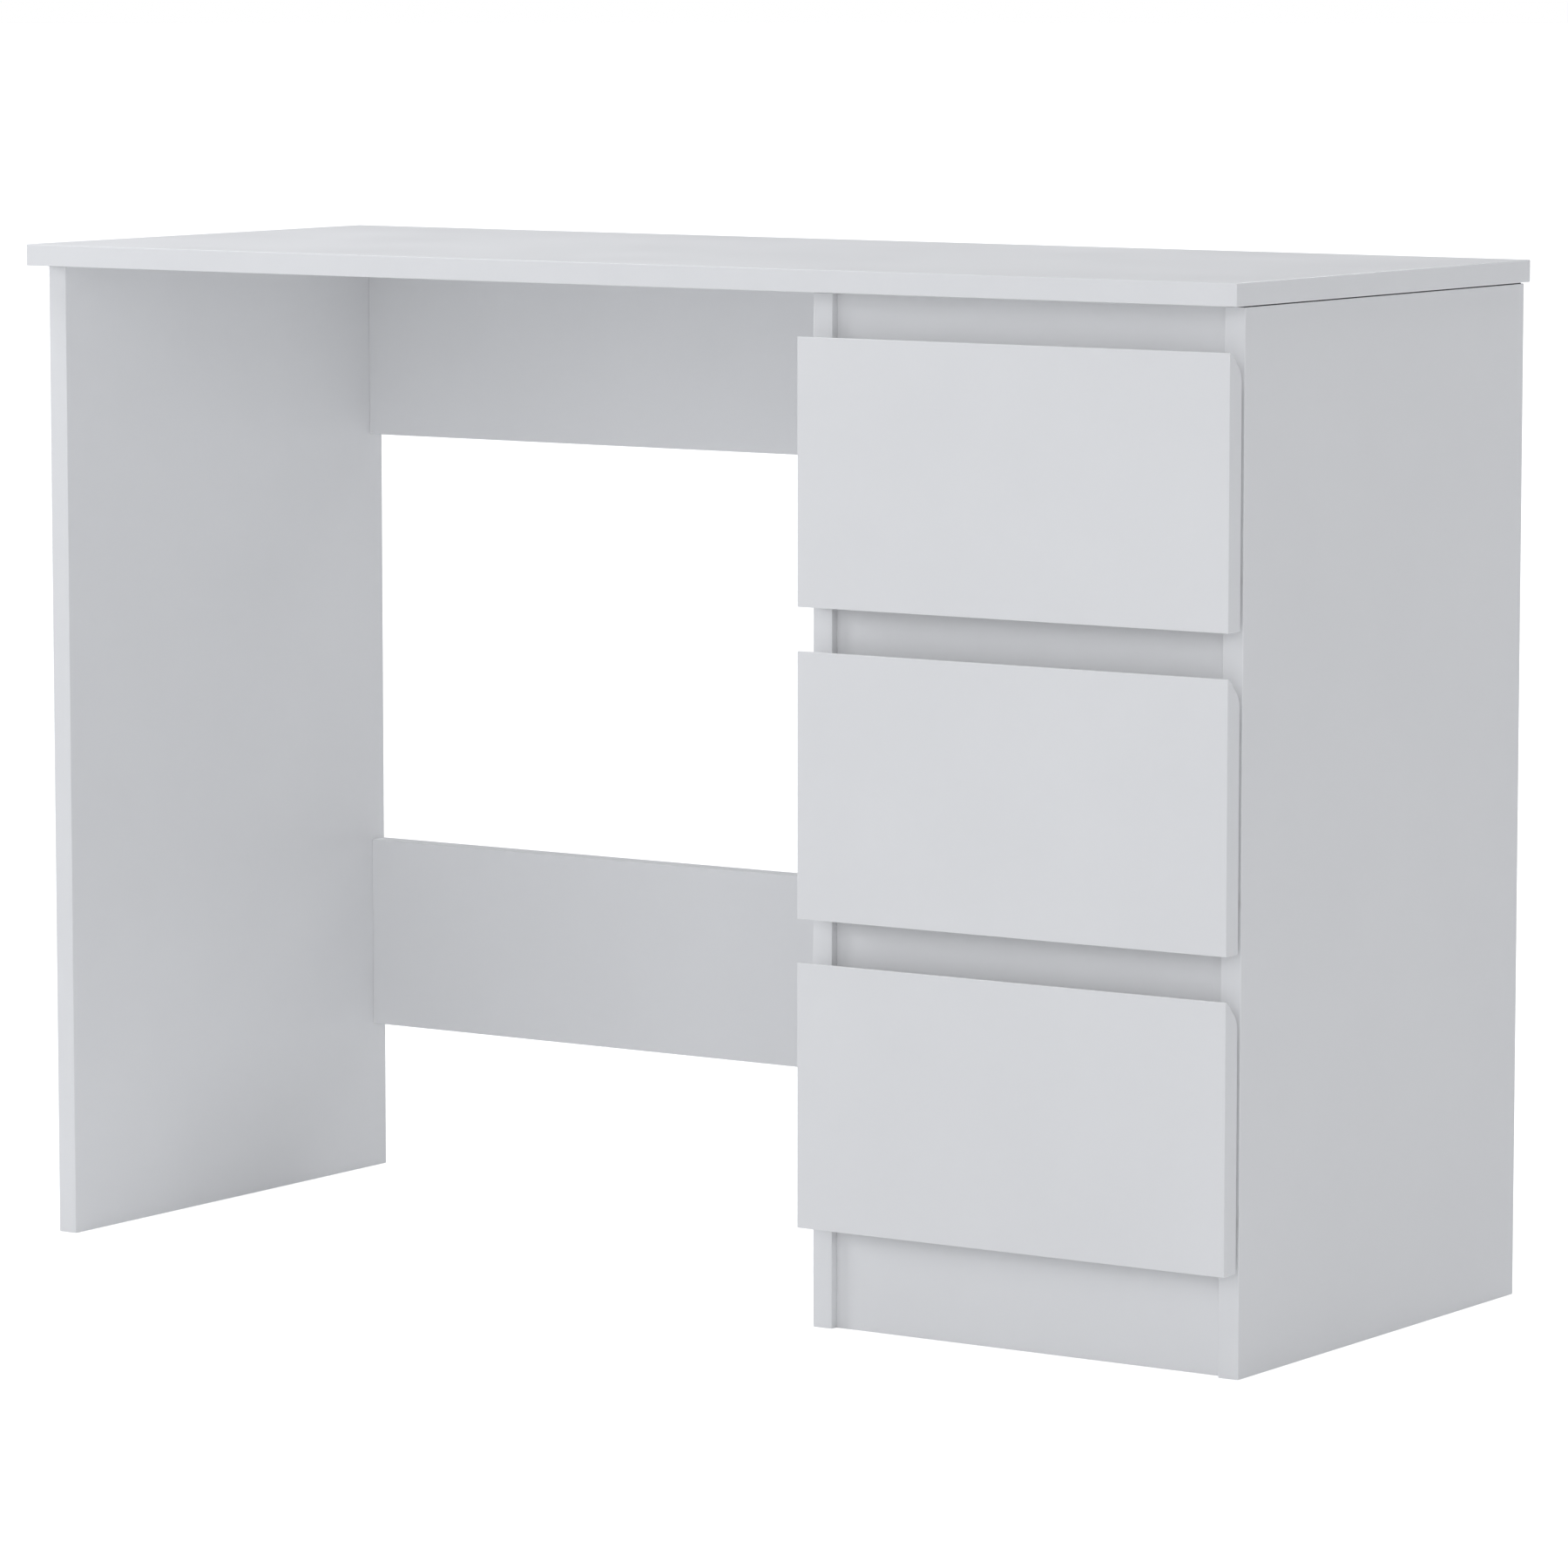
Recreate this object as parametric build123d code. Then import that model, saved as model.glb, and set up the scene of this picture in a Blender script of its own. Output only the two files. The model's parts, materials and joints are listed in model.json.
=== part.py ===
from build123d import *
import os

# Writing desk with a knee space on the left and a cabinet of three handleless drawers on the right.
# Millimetres. The origin is on the floor under the centre of the desk, +X runs to the sitter's right,
# -Y points at the sitter and +Z up.

# ---- Overall size and board stock ----
DESK_WIDTH = 1050.0
DESK_DEPTH = 410.0
DESK_HEIGHT = 750.0
BOARD = 16.0  # every board is cut from the same stock
THIN_BOARD = 3.0  # hardboard of the cabinet back and the drawer bottoms
SIDE_OVERHANG = 5.0  # of the top, beyond the outer panels
FRONT_OVERHANG = 20.0  # of the top, in front of the panels
CABINET_WIDTH = 350.0  # over the outside of the middle and right panels

# ---- Rails ----
BACK_RAIL_HEIGHT = 148.0
LOWER_BACK_RAIL_Z = 115.0
FRONT_RAIL_HEIGHT = 40.0
RAIL_RECESS = 6.0  # front rails and plinth sit this far behind the panels' front edges
PLINTH_HEIGHT = 80.0
REAR_BASE_RAIL_HEIGHT = 60.0
BACK_PANEL_INSET = 10.0  # from the panels' rear edges to the back panel

# ---- Drawers ----
DRAWER_COUNT = 3
FRONT_HEIGHT = 189.0
FIRST_FRONT_Z = 74.0
FRONT_PITCH = 220.0
FRONT_GAP = 4.0  # between the fronts and the panels' front edges
GRIP_LAND = 2.0  # flat left on top of a front, ahead of its finger bevel
GRIP_RADIUS = 6.0  # rounds the bevel into the back face
BOX_HEIGHT = 125.0
BOX_LENGTH = 350.0
BOX_RISE = 20.0  # from a front's lower edge to the box's lower edge
SIDE_SPACE = 12.5  # each side of a drawer box, for the runners

# ---- Grooves for thin board ----
GROOVE_DEPTH = 4.0
GROOVE_PLAY = 0.2
TONGUE = 3.6  # how far thin board reaches into a groove
BOTTOM_RISE = 12.5  # from a box's lower edge to its bottom

# ---- Runners and rollers ----
STEEL = 1.2
RUNNER_LENGTH = 350.0
RUNNER_SETBACK = 3.0  # behind the panels' front edges
RUNNER_HEIGHT = 24.2
RUNNER_FLANGE = 9.5  # reach of a flange from the panel's face
RUNNER_DROP = 4.0  # the runner's lower edge lies this far below the drawer box
RAIL_LIP = 10.0  # of a drawer rail, under the drawer's side
RAIL_TRACK_RISE = 20.1  # underside of a rail's track above the runner's lower edge
RAIL_TRACK_REACH = 3.0  # from the panel's face to the track's edge
RAIL_LENGTH = 343.5
RAIL_SETBACK = 0.5  # behind the drawer front's rear face
ROLLER_RADIUS = 9.0
ROLLER_BORE = 2.55
AXLE_RADIUS = 2.5
AXLE_HEAD_RADIUS = 3.5
AXLE_HEAD = 0.7
# near and far face from the panel's face, and the axis above the runner's lower edge
CABINET_ROLLER = (2.9, 8.8, 10.8)
DRAWER_ROLLER = (3.6, 9.6, 10.5)
ROLLER_INSET = 14.0  # from a runner's front end, or a rail's rear end, to the roller's axis

# ---- Fasteners ----
CAM_RADIUS = 7.4
CAM_DEPTH = 12.5
CAM_DISTANCE = 34.0  # from the joint to the cam's axis
CAM_PLAY = 0.1
CAM_SLOT = 7.6
CROSS_REACH = 4.0  # of the screwdriver recess, from the cam's middle
CROSS_HALF = 0.7
CROSS_DEPTH = 2.0
BOLT_THREAD_RADIUS = 2.4
BOLT_THREAD_LENGTH = 11.0
BOLT_SHANK_RADIUS = 3.0
BOLT_NECK_RADIUS = 2.0
BOLT_HEAD_RADIUS = 3.4
BOLT_NECK = 5.0
BOLT_HEAD = 2.5
CHANNEL_RADIUS = 4.0
DOWEL_RADIUS = 4.0
DOWEL_LENGTH = 30.0
DOWEL_IN_FACE = 11.0
DOWEL_PLAY = 0.1
SCREW_RADIUS = 1.7
SCREW_HEAD_RADIUS = 3.5
SCREW_LENGTH = 11.0  # in the board
SCREW_PLAY = 0.1
SCREW_HOLE = 2.1  # radius of the hole in the steel
DRILL_EXTRA = 0.5  # a blind hole is this much deeper than what goes into it

# ---- Faces that other sizes are worked out from ----
RIGHT = DESK_WIDTH / 2 - SIDE_OVERHANG
LEFT = -RIGHT
REAR = DESK_DEPTH / 2
PANEL_FRONT = -REAR + FRONT_OVERHANG
UNDER_TOP = DESK_HEIGHT - BOARD
CABINET_LEFT = RIGHT - CABINET_WIDTH
CABINET_IN = (CABINET_LEFT + BOARD, RIGHT - BOARD)
CABINET_MIDDLE = (CABINET_IN[0] + CABINET_IN[1]) / 2
KNEE = (LEFT + BOARD, CABINET_LEFT)
FRONT_BACK = PANEL_FRONT - FRONT_GAP
FRONT_FACE = FRONT_BACK - BOARD
RAIL_FRONT = PANEL_FRONT + RAIL_RECESS
RAIL_MID = RAIL_FRONT + BOARD / 2
BACK_RAIL_MID = REAR - BOARD / 2
UPPER_BACK_RAIL_Z = UNDER_TOP - BACK_RAIL_HEIGHT
FRONT_SPACING = FRONT_PITCH - FRONT_HEIGHT
BOX = (CABINET_IN[0] + SIDE_SPACE, CABINET_IN[1] - SIDE_SPACE)
BOX_IN = (BOX[0] + BOARD, BOX[1] - BOARD)
BOX_REAR = FRONT_BACK + BOX_LENGTH
RUNNER_FRONT = PANEL_FRONT + RUNNER_SETBACK
RAIL_START = FRONT_BACK + RAIL_SETBACK

cabinet_plane = Plane.YZ.offset(CABINET_MIDDLE)


def block(x, y, z):
    """A rectangular piece from its limits along each axis."""
    size = [limits[1] - limits[0] for limits in (x, y, z)]
    middle = [(limits[0] + limits[1]) / 2 for limits in (x, y, z)]
    return Pos(*middle) * Box(*size)


def rod(radius, start, end):
    """A cylinder on the local Z axis."""
    return Pos(0, 0, (start + end) / 2) * Cylinder(radius, end - start)


def rod_x(radius, x, y, z):
    """A cylinder along X between two limits."""
    return Pos((x[0] + x[1]) / 2, y, z) * Rot(0, 90, 0) * Cylinder(radius, x[1] - x[0])


# ---- Fittings, each at a joint where an edge meets the face of another board ----
# The local Z axis points from the edge into that other board.


class Group:
    """Fasteners of one body, and the holes that they need in each board."""

    def __init__(self):
        self.cams = []
        self.bolts = []
        self.dowels = []
        self.holes = {}

    def drill(self, board, hole):
        self.holes.setdefault(board, []).append(hole)

    def drilled(self, board, solid):
        holes = self.holes.get(board)
        return solid - holes if holes else solid


def joint_place(point, into, cam_side):
    return Plane(origin=point, x_dir=cam_side, z_dir=into).location


def cam_bolt():
    """A bolt whose thread goes into the other board and whose head ends in the cam."""
    thread = rod(BOLT_THREAD_RADIUS, 0, BOLT_THREAD_LENGTH)
    head_end = -CAM_DISTANCE
    neck_end = head_end + BOLT_HEAD
    shank = rod(BOLT_SHANK_RADIUS, neck_end + BOLT_NECK, 0)
    neck = rod(BOLT_NECK_RADIUS, neck_end, neck_end + BOLT_NECK)
    head = rod(BOLT_HEAD_RADIUS, head_end, neck_end)
    return thread + shank + neck + head


def cam_housing():
    """A round nut with a slot for the bolt's head and a cross recess in its visible face."""
    face = BOARD / 2
    body = rod_x(CAM_RADIUS, (face - CAM_DEPTH, face), 0, 0)
    half_slot = (-CAM_SLOT / 2, CAM_SLOT / 2)
    slot = block(half_slot, half_slot, (-CAM_SLOT / 2, CAM_RADIUS))
    recess = (face - CROSS_DEPTH, face)
    arm = (-CROSS_REACH, CROSS_REACH)
    narrow = (-CROSS_HALF, CROSS_HALF)
    cross = block(recess, narrow, arm) + block(recess, arm, narrow)
    return Pos(0, 0, -CAM_DISTANCE) * (body - slot - cross)


def cam_pocket():
    """The pocket that a cam sits in, and the channel from it to the joint for the bolt."""
    face = BOARD / 2
    pocket = rod_x(CAM_RADIUS + CAM_PLAY, (face - CAM_DEPTH - DRILL_EXTRA, face), 0, 0)
    return Pos(0, 0, -CAM_DISTANCE) * pocket + rod(CHANNEL_RADIUS, -CAM_DISTANCE, 0)


def add_cam(group, edge_board, face_board, point, into, cam_side):
    place = joint_place(point, into, cam_side)
    group.bolts.append(place * cam_bolt())
    group.cams.append(place * cam_housing())
    group.drill(edge_board, place * cam_pocket())
    pilot = rod(BOLT_THREAD_RADIUS + CAM_PLAY, 0, BOLT_THREAD_LENGTH + DRILL_EXTRA)
    group.drill(face_board, place * pilot)


def add_dowel(group, edge_board, face_board, point, into, across):
    place = joint_place(point, into, across)
    in_edge = DOWEL_LENGTH - DOWEL_IN_FACE
    radius = DOWEL_RADIUS + DOWEL_PLAY
    group.dowels.append(place * rod(DOWEL_RADIUS, -in_edge, DOWEL_IN_FACE))
    group.drill(edge_board, place * rod(radius, -in_edge - DRILL_EXTRA, 0))
    group.drill(face_board, place * rod(radius, 0, DOWEL_IN_FACE + DRILL_EXTRA))


# ---- Carcass ----
FRONT_RAILS = ("lower_front_rail", "upper_front_rail", "top_front_rail")
LEFTWARDS = (-1, 0, 0)
RIGHTWARDS = (1, 0, 0)
FORWARDS = (0, -1, 0)
REARWARDS = (0, 1, 0)
UPWARDS = (0, 0, 1)
END_MARGIN = 24.0  # from a back rail's long edge to its cam bolts
FRONT_CAM_LIFT = 7.0  # a front rail's cam bolt above its middle
FRONT_DOWEL_DROP = 12.0  # and its dowel below it
TOP_CAM_Y = (-150.0, 150.0)
TOP_CAM_X = (-400.0, 66.0)
TOP_DOWEL_Y = (-120.0, 10.0, 120.0)


def front_rail_heights():
    """The lower limit of each front rail: one behind each gap above a drawer front."""
    rise = (FRONT_RAIL_HEIGHT - FRONT_SPACING) / 2
    gaps = [FIRST_FRONT_Z + FRONT_HEIGHT + n * FRONT_PITCH for n in range(DRAWER_COUNT)]
    lows = [gap - rise for gap in gaps]
    lows[-1] = UNDER_TOP - FRONT_RAIL_HEIGHT
    return lows


def carcass_boards():
    panel_y = (PANEL_FRONT, REAR)
    rail_y = (RAIL_FRONT, RAIL_FRONT + BOARD)
    back_y = (REAR - BOARD, REAR)
    full = (0, UNDER_TOP)
    boards = {
        "desk_top": block((-DESK_WIDTH / 2, DESK_WIDTH / 2), (-REAR, REAR), (UNDER_TOP, DESK_HEIGHT)),
        "left_side_panel": block((LEFT, LEFT + BOARD), panel_y, full),
        "middle_panel": block((CABINET_LEFT, CABINET_LEFT + BOARD), panel_y, full),
        "right_side_panel": block((RIGHT - BOARD, RIGHT), panel_y, full),
        "upper_back_rail": block(KNEE, back_y, (UPPER_BACK_RAIL_Z, UNDER_TOP)),
        "lower_back_rail": block(
            KNEE, back_y, (LOWER_BACK_RAIL_Z, LOWER_BACK_RAIL_Z + BACK_RAIL_HEIGHT)
        ),
        "plinth": block(CABINET_IN, rail_y, (0, PLINTH_HEIGHT)),
        "rear_base_rail": block(CABINET_IN, back_y, (0, REAR_BASE_RAIL_HEIGHT)),
    }
    for name, low in zip(FRONT_RAILS, front_rail_heights()):
        boards[name] = block(CABINET_IN, rail_y, (low, low + FRONT_RAIL_HEIGHT))
    return boards


def join_rail_ends(group, rail, ends, y, cam_side, cam_heights, dowel_heights):
    """Cam bolts and dowels at both ends of a rail that runs along X between two panels."""
    for x, panel, into in ends:
        for z in cam_heights:
            add_cam(group, rail, panel, (x, y, z), into, cam_side)
        for z in dowel_heights:
            add_dowel(group, rail, panel, (x, y, z), into, cam_side)


def join_carcass(group):
    knee_ends = [
        (KNEE[0], "left_side_panel", LEFTWARDS),
        (KNEE[1], "middle_panel", RIGHTWARDS),
    ]
    cabinet_ends = [
        (CABINET_IN[0], "middle_panel", LEFTWARDS),
        (CABINET_IN[1], "right_side_panel", RIGHTWARDS),
    ]
    for rail, low in (("upper_back_rail", UPPER_BACK_RAIL_Z), ("lower_back_rail", LOWER_BACK_RAIL_Z)):
        cam_heights = (low + END_MARGIN, low + BACK_RAIL_HEIGHT - END_MARGIN)
        dowel_heights = (low + BACK_RAIL_HEIGHT / 2,)
        join_rail_ends(group, rail, knee_ends, BACK_RAIL_MID, REARWARDS, cam_heights, dowel_heights)
    for rail, low in zip(FRONT_RAILS, front_rail_heights()):
        middle = low + FRONT_RAIL_HEIGHT / 2
        heights = ((middle + FRONT_CAM_LIFT,), (middle - FRONT_DOWEL_DROP,))
        join_rail_ends(group, rail, cabinet_ends, RAIL_MID, REARWARDS, *heights)
    plinth_heights = ((PLINTH_HEIGHT - END_MARGIN,), (END_MARGIN,))
    join_rail_ends(group, "plinth", cabinet_ends, RAIL_MID, REARWARDS, *plinth_heights)
    base_middle = REAR_BASE_RAIL_HEIGHT / 2
    base_heights = ((base_middle + FRONT_CAM_LIFT,), (base_middle - FRONT_DOWEL_DROP,))
    join_rail_ends(group, "rear_base_rail", cabinet_ends, BACK_RAIL_MID, FORWARDS, *base_heights)

    for x in TOP_CAM_X:
        add_cam(group, "upper_back_rail", "desk_top", (x, BACK_RAIL_MID, UNDER_TOP), UPWARDS, REARWARDS)
    cabinet_walls = [
        ("middle_panel", CABINET_LEFT + BOARD / 2, RIGHTWARDS),
        ("right_side_panel", RIGHT - BOARD / 2, LEFTWARDS),
    ]
    for panel, x, inwards in cabinet_walls:
        for y in TOP_CAM_Y:
            add_cam(group, panel, "desk_top", (x, y, UNDER_TOP), UPWARDS, inwards)
        add_dowel(group, panel, "desk_top", (x, TOP_DOWEL_Y[1], UNDER_TOP), UPWARDS, inwards)
    for y in TOP_DOWEL_Y:
        point = (LEFT + BOARD / 2, y, UNDER_TOP)
        add_dowel(group, "left_side_panel", "desk_top", point, UPWARDS, RIGHTWARDS)


def back_panel_groove():
    """The space that the cabinet's back panel slides into, along both panels and the base rail."""
    rear_face = REAR - BACK_PANEL_INSET
    y = (rear_face - THIN_BOARD - GROOVE_PLAY, rear_face + GROOVE_PLAY)
    x = (CABINET_IN[0] - GROOVE_DEPTH, CABINET_IN[1] + GROOVE_DEPTH)
    return block(x, y, (REAR_BASE_RAIL_HEIGHT - GROOVE_DEPTH, UNDER_TOP))


def cabinet_back_panel():
    rear_face = REAR - BACK_PANEL_INSET
    x = (CABINET_IN[0] - TONGUE, CABINET_IN[1] + TONGUE)
    y = (rear_face - THIN_BOARD, rear_face)
    return block(x, y, (REAR_BASE_RAIL_HEIGHT - TONGUE, UNDER_TOP))


# ---- Runners and rollers of the cabinet's left wall, mirrored for its right wall ----
RUNNER_SCREW_Y = (35.0, 175.0, 315.0)  # from a runner's front end
RAIL_SCREW_Y = (60.0, 250.0)  # from a rail's front end
RAIL_SCREW_RISE = 10.0  # above the runner's lower edge
WALL = CABINET_IN[0]


def from_wall(near, far):
    return (WALL + near, WALL + far)


def runner_base(front_z):
    return front_z + BOX_RISE - RUNNER_DROP


def cabinet_runner(base):
    """A steel channel, open towards the drawer, with the axle of its front roller riveted in."""
    y = (RUNNER_FRONT, RUNNER_FRONT + RUNNER_LENGTH)
    web = block(from_wall(0, STEEL), y, (base, base + RUNNER_HEIGHT))
    flange_x = from_wall(0, RUNNER_FLANGE)
    lower = block(flange_x, y, (base, base + STEEL))
    upper = block(flange_x, y, (base + RUNNER_HEIGHT - STEEL, base + RUNNER_HEIGHT))
    far, rise = CABINET_ROLLER[1:]
    axis = (RUNNER_FRONT + ROLLER_INSET, base + rise)
    head_start = far + CAM_PLAY
    axle = rod_x(AXLE_RADIUS, from_wall(0, head_start), *axis)
    head = rod_x(AXLE_HEAD_RADIUS, from_wall(head_start, head_start + AXLE_HEAD), *axis)
    holes = [
        rod_x(SCREW_HOLE, from_wall(0, STEEL), RUNNER_FRONT + y_screw, base + RAIL_SCREW_RISE)
        for y_screw in RUNNER_SCREW_Y
    ]
    return web + lower + upper + axle + head - holes


def drawer_rail(base):
    """A steel rail under the lower edge of a drawer's side, with its rear roller's axle riveted in."""
    y = (RAIL_START, RAIL_START + RAIL_LENGTH)
    outer = SIDE_SPACE - STEEL
    low = base + RUNNER_DROP - STEEL
    track_z = (base + RAIL_TRACK_RISE, base + RAIL_TRACK_RISE + STEEL)
    wall = block(from_wall(outer, SIDE_SPACE), y, (low, track_z[1]))
    lip = block(from_wall(outer, SIDE_SPACE + RAIL_LIP), y, (low, low + STEEL))
    track = block(from_wall(RAIL_TRACK_REACH, SIDE_SPACE), y, track_z)
    near, _, rise = DRAWER_ROLLER
    axis = (y[1] - ROLLER_INSET, base + rise)
    head_end = near - CAM_PLAY
    axle = rod_x(AXLE_RADIUS, from_wall(head_end, SIDE_SPACE), *axis)
    head = rod_x(AXLE_HEAD_RADIUS, from_wall(head_end - AXLE_HEAD, head_end), *axis)
    holes = [
        rod_x(SCREW_HOLE, from_wall(outer, SIDE_SPACE), RAIL_START + y_screw, base + RAIL_SCREW_RISE)
        for y_screw in RAIL_SCREW_Y
    ]
    return wall + lip + track + axle + head - holes


def roller(limits, y, base):
    near, far, rise = limits
    x = from_wall(near, far)
    tread = rod_x(ROLLER_RADIUS, x, y, base + rise)
    return tread - rod_x(ROLLER_BORE, x, y, base + rise)


def screw(point_x, direction, y, z):
    """A pan-head screw along X: its head ends at point_x and its shank goes on in the direction."""
    head_x = sorted((point_x - direction * STEEL, point_x))
    shank_x = sorted((point_x, point_x + direction * (STEEL + SCREW_LENGTH)))
    return rod_x(SCREW_HEAD_RADIUS, head_x, y, z) + rod_x(SCREW_RADIUS, shank_x, y, z)


def screw_pilot(point_x, direction, y, z):
    x = sorted((point_x, point_x + direction * (SCREW_LENGTH + DRILL_EXTRA)))
    return rod_x(SCREW_RADIUS + SCREW_PLAY, x, y, z)


def mirrored(shape):
    return mirror(shape, about=cabinet_plane)


def both_walls(group, boards, near_shape):
    """Drills the same hole in a left piece and, mirrored, in its right one."""
    group.drill(boards[0], near_shape)
    group.drill(boards[1], mirrored(near_shape))


# ---- Drawers ----
FRONT_CAM_RISE = (35.0, 95.0)  # above a box's lower edge


def drawer_front(front_z):
    """A front whose top edge slopes down at the back, as a grip for the fingers."""
    top = front_z + FRONT_HEIGHT
    slope_y = FRONT_FACE + GRIP_LAND
    slope = BOARD - GRIP_LAND
    outline = Polyline(
        (FRONT_FACE, front_z),
        (FRONT_BACK, front_z),
        (FRONT_BACK, top - slope),
        (slope_y, top),
        (FRONT_FACE, top),
        close=True,
    )
    section = Plane.YZ.offset(CABINET_LEFT) * make_face(outline)
    solid = extrude(section, amount=CABINET_WIDTH)
    turn_z = top - slope
    turn = solid.edges().filter_by(Axis.X).filter_by_position(Axis.Z, turn_z - GRIP_LAND, turn_z + GRIP_LAND)
    return fillet(turn, GRIP_RADIUS)


def bottom_groove(box_z):
    z = (box_z + BOTTOM_RISE - GROOVE_PLAY, box_z + BOTTOM_RISE + THIN_BOARD + GROOVE_PLAY)
    x = (BOX_IN[0] - GROOVE_DEPTH, BOX_IN[1] + GROOVE_DEPTH)
    y = (FRONT_BACK - GROOVE_DEPTH, BOX_REAR - BOARD + GROOVE_DEPTH)
    return block(x, y, z)


def drawer_bottom(box_z):
    z = (box_z + BOTTOM_RISE, box_z + BOTTOM_RISE + THIN_BOARD)
    x = (BOX_IN[0] - TONGUE, BOX_IN[1] + TONGUE)
    y = (FRONT_BACK - TONGUE, BOX_REAR - BOARD + TONGUE)
    return block(x, y, z)


def drawer_boards(front_z):
    box_z = front_z + BOX_RISE
    z = (box_z, box_z + BOX_HEIGHT)
    y = (FRONT_BACK, BOX_REAR)
    return {
        "front": drawer_front(front_z),
        "left_side": block((BOX[0], BOX_IN[0]), y, z),
        "right_side": block((BOX_IN[1], BOX[1]), y, z),
        "back": block(BOX_IN, (BOX_REAR - BOARD, BOX_REAR), z),
    }


def join_drawer(group, front_z):
    box_z = front_z + BOX_RISE
    sides = [
        ("left_side", BOX[0] + BOARD / 2, BOX_IN[0], RIGHTWARDS, LEFTWARDS),
        ("right_side", BOX[1] - BOARD / 2, BOX_IN[1], LEFTWARDS, RIGHTWARDS),
    ]
    for side, middle, inner, inwards, outwards in sides:
        for rise in FRONT_CAM_RISE:
            z = box_z + rise
            add_cam(group, side, "front", (middle, FRONT_BACK, z), FORWARDS, inwards)
            add_cam(group, "back", side, (inner, BOX_REAR - BOARD / 2, z), outwards, REARWARDS)


def build_drawer(number, front_z):
    """Every piece of one drawer, with its rails, rollers and fasteners."""
    name = f"drawer_{number}"
    base = runner_base(front_z)
    group = Group()
    join_drawer(group, front_z)
    screws = []
    for y_screw in RAIL_SCREW_Y:
        at = (RAIL_START + y_screw, base + RAIL_SCREW_RISE)
        screws.append(screw(WALL + SIDE_SPACE - STEEL, 1, *at))
        both_walls(group, ("left_side", "right_side"), screw_pilot(WALL + SIDE_SPACE, 1, *at))
    boards = drawer_boards(front_z)
    groove = bottom_groove(front_z + BOX_RISE)
    pieces = {f"{name}_{key}": group.drilled(key, board) - groove for key, board in boards.items()}
    pieces[f"{name}_bottom"] = drawer_bottom(front_z + BOX_RISE)
    pieces[f"{name}_left_rail"] = drawer_rail(base)
    pieces[f"{name}_right_rail"] = mirrored(drawer_rail(base))
    rear_axis = RAIL_START + RAIL_LENGTH - ROLLER_INSET
    pieces[f"{name}_rear_rollers"] = pair(roller(DRAWER_ROLLER, rear_axis, base))
    pieces[f"{name}_cam_housings"] = Compound(children=group.cams)
    pieces[f"{name}_cam_bolts"] = Compound(children=group.bolts)
    pieces[f"{name}_rail_screws"] = Compound(children=screws + [mirrored(one) for one in screws])
    return pieces


def pair(left):
    return Compound(children=[left, mirrored(left)])


# ---- Whole desk ----
def build_desk():
    group = Group()
    join_carcass(group)
    pieces = {}
    screws = []
    for number in range(1, DRAWER_COUNT + 1):
        front_z = FIRST_FRONT_Z + (number - 1) * FRONT_PITCH
        base = runner_base(front_z)
        pieces.update(build_drawer(number, front_z))
        runner = cabinet_runner(base)
        pieces[f"runner_{number}_left"] = runner
        pieces[f"runner_{number}_right"] = mirrored(runner)
        front_axis = RUNNER_FRONT + ROLLER_INSET
        pieces[f"runner_{number}_front_rollers"] = pair(roller(CABINET_ROLLER, front_axis, base))
        for y_screw in RUNNER_SCREW_Y:
            at = (RUNNER_FRONT + y_screw, base + RAIL_SCREW_RISE)
            screws.append(screw(WALL + STEEL, -1, *at))
            both_walls(group, ("middle_panel", "right_side_panel"), screw_pilot(WALL, -1, *at))
    groove = back_panel_groove()
    for name, solid in carcass_boards().items():
        drilled = group.drilled(name, solid)
        grooved = name in ("middle_panel", "right_side_panel", "rear_base_rail")
        pieces[name] = drilled - groove if grooved else drilled
    pieces["cabinet_back_panel"] = cabinet_back_panel()
    pieces["cam_housings"] = Compound(children=group.cams)
    pieces["cam_bolts"] = Compound(children=group.bolts)
    pieces["wood_dowels"] = Compound(children=group.dowels)
    pieces["runner_screws"] = Compound(children=screws + [mirrored(one) for one in screws])
    return pieces


os.makedirs("parts", exist_ok=True)
for node, shape in build_desk().items():
    export_step(shape, f"parts/{node}.step")
    print(node, len(shape.solids()))
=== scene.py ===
# %% [markdown]
# # A white writing desk with three drawers
#
# The desk is flat-pack furniture: 16 mm chipboard, faced with white melamine and closed along its edges
# with a thin plastic band. The engineering model already says where every piece is and how it moves.
# This lesson keeps those places and makes each piece look like the real thing: boards with rounded bands,
# pockets with cast cams in them, folded steel runners, nylon rollers and screws.
#
# Everything is in metres, with +X to the sitter's right, -Y towards the sitter and +Z up.

# %% Load the engineering model
import json
import math

import bmesh
import bpy
from mathutils import Matrix, Vector


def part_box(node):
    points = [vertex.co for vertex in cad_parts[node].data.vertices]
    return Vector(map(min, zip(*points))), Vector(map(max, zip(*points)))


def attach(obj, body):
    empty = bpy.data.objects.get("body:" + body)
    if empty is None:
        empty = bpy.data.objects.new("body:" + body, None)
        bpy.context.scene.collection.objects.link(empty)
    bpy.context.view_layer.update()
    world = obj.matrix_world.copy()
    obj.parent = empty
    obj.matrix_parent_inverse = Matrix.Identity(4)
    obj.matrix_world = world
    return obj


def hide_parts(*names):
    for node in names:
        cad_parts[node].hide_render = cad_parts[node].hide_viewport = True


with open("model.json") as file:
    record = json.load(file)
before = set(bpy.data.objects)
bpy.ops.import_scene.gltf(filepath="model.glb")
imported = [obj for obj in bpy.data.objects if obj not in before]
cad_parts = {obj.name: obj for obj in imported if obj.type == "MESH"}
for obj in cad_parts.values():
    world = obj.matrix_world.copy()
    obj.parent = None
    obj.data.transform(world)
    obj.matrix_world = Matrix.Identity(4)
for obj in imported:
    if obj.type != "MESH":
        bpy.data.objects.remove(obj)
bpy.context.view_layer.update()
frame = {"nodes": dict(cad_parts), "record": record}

MM = 0.001
X, Y, Z = 0, 1, 2
AXES = (Vector((1, 0, 0)), Vector((0, 1, 0)), Vector((0, 0, 1)))
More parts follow.
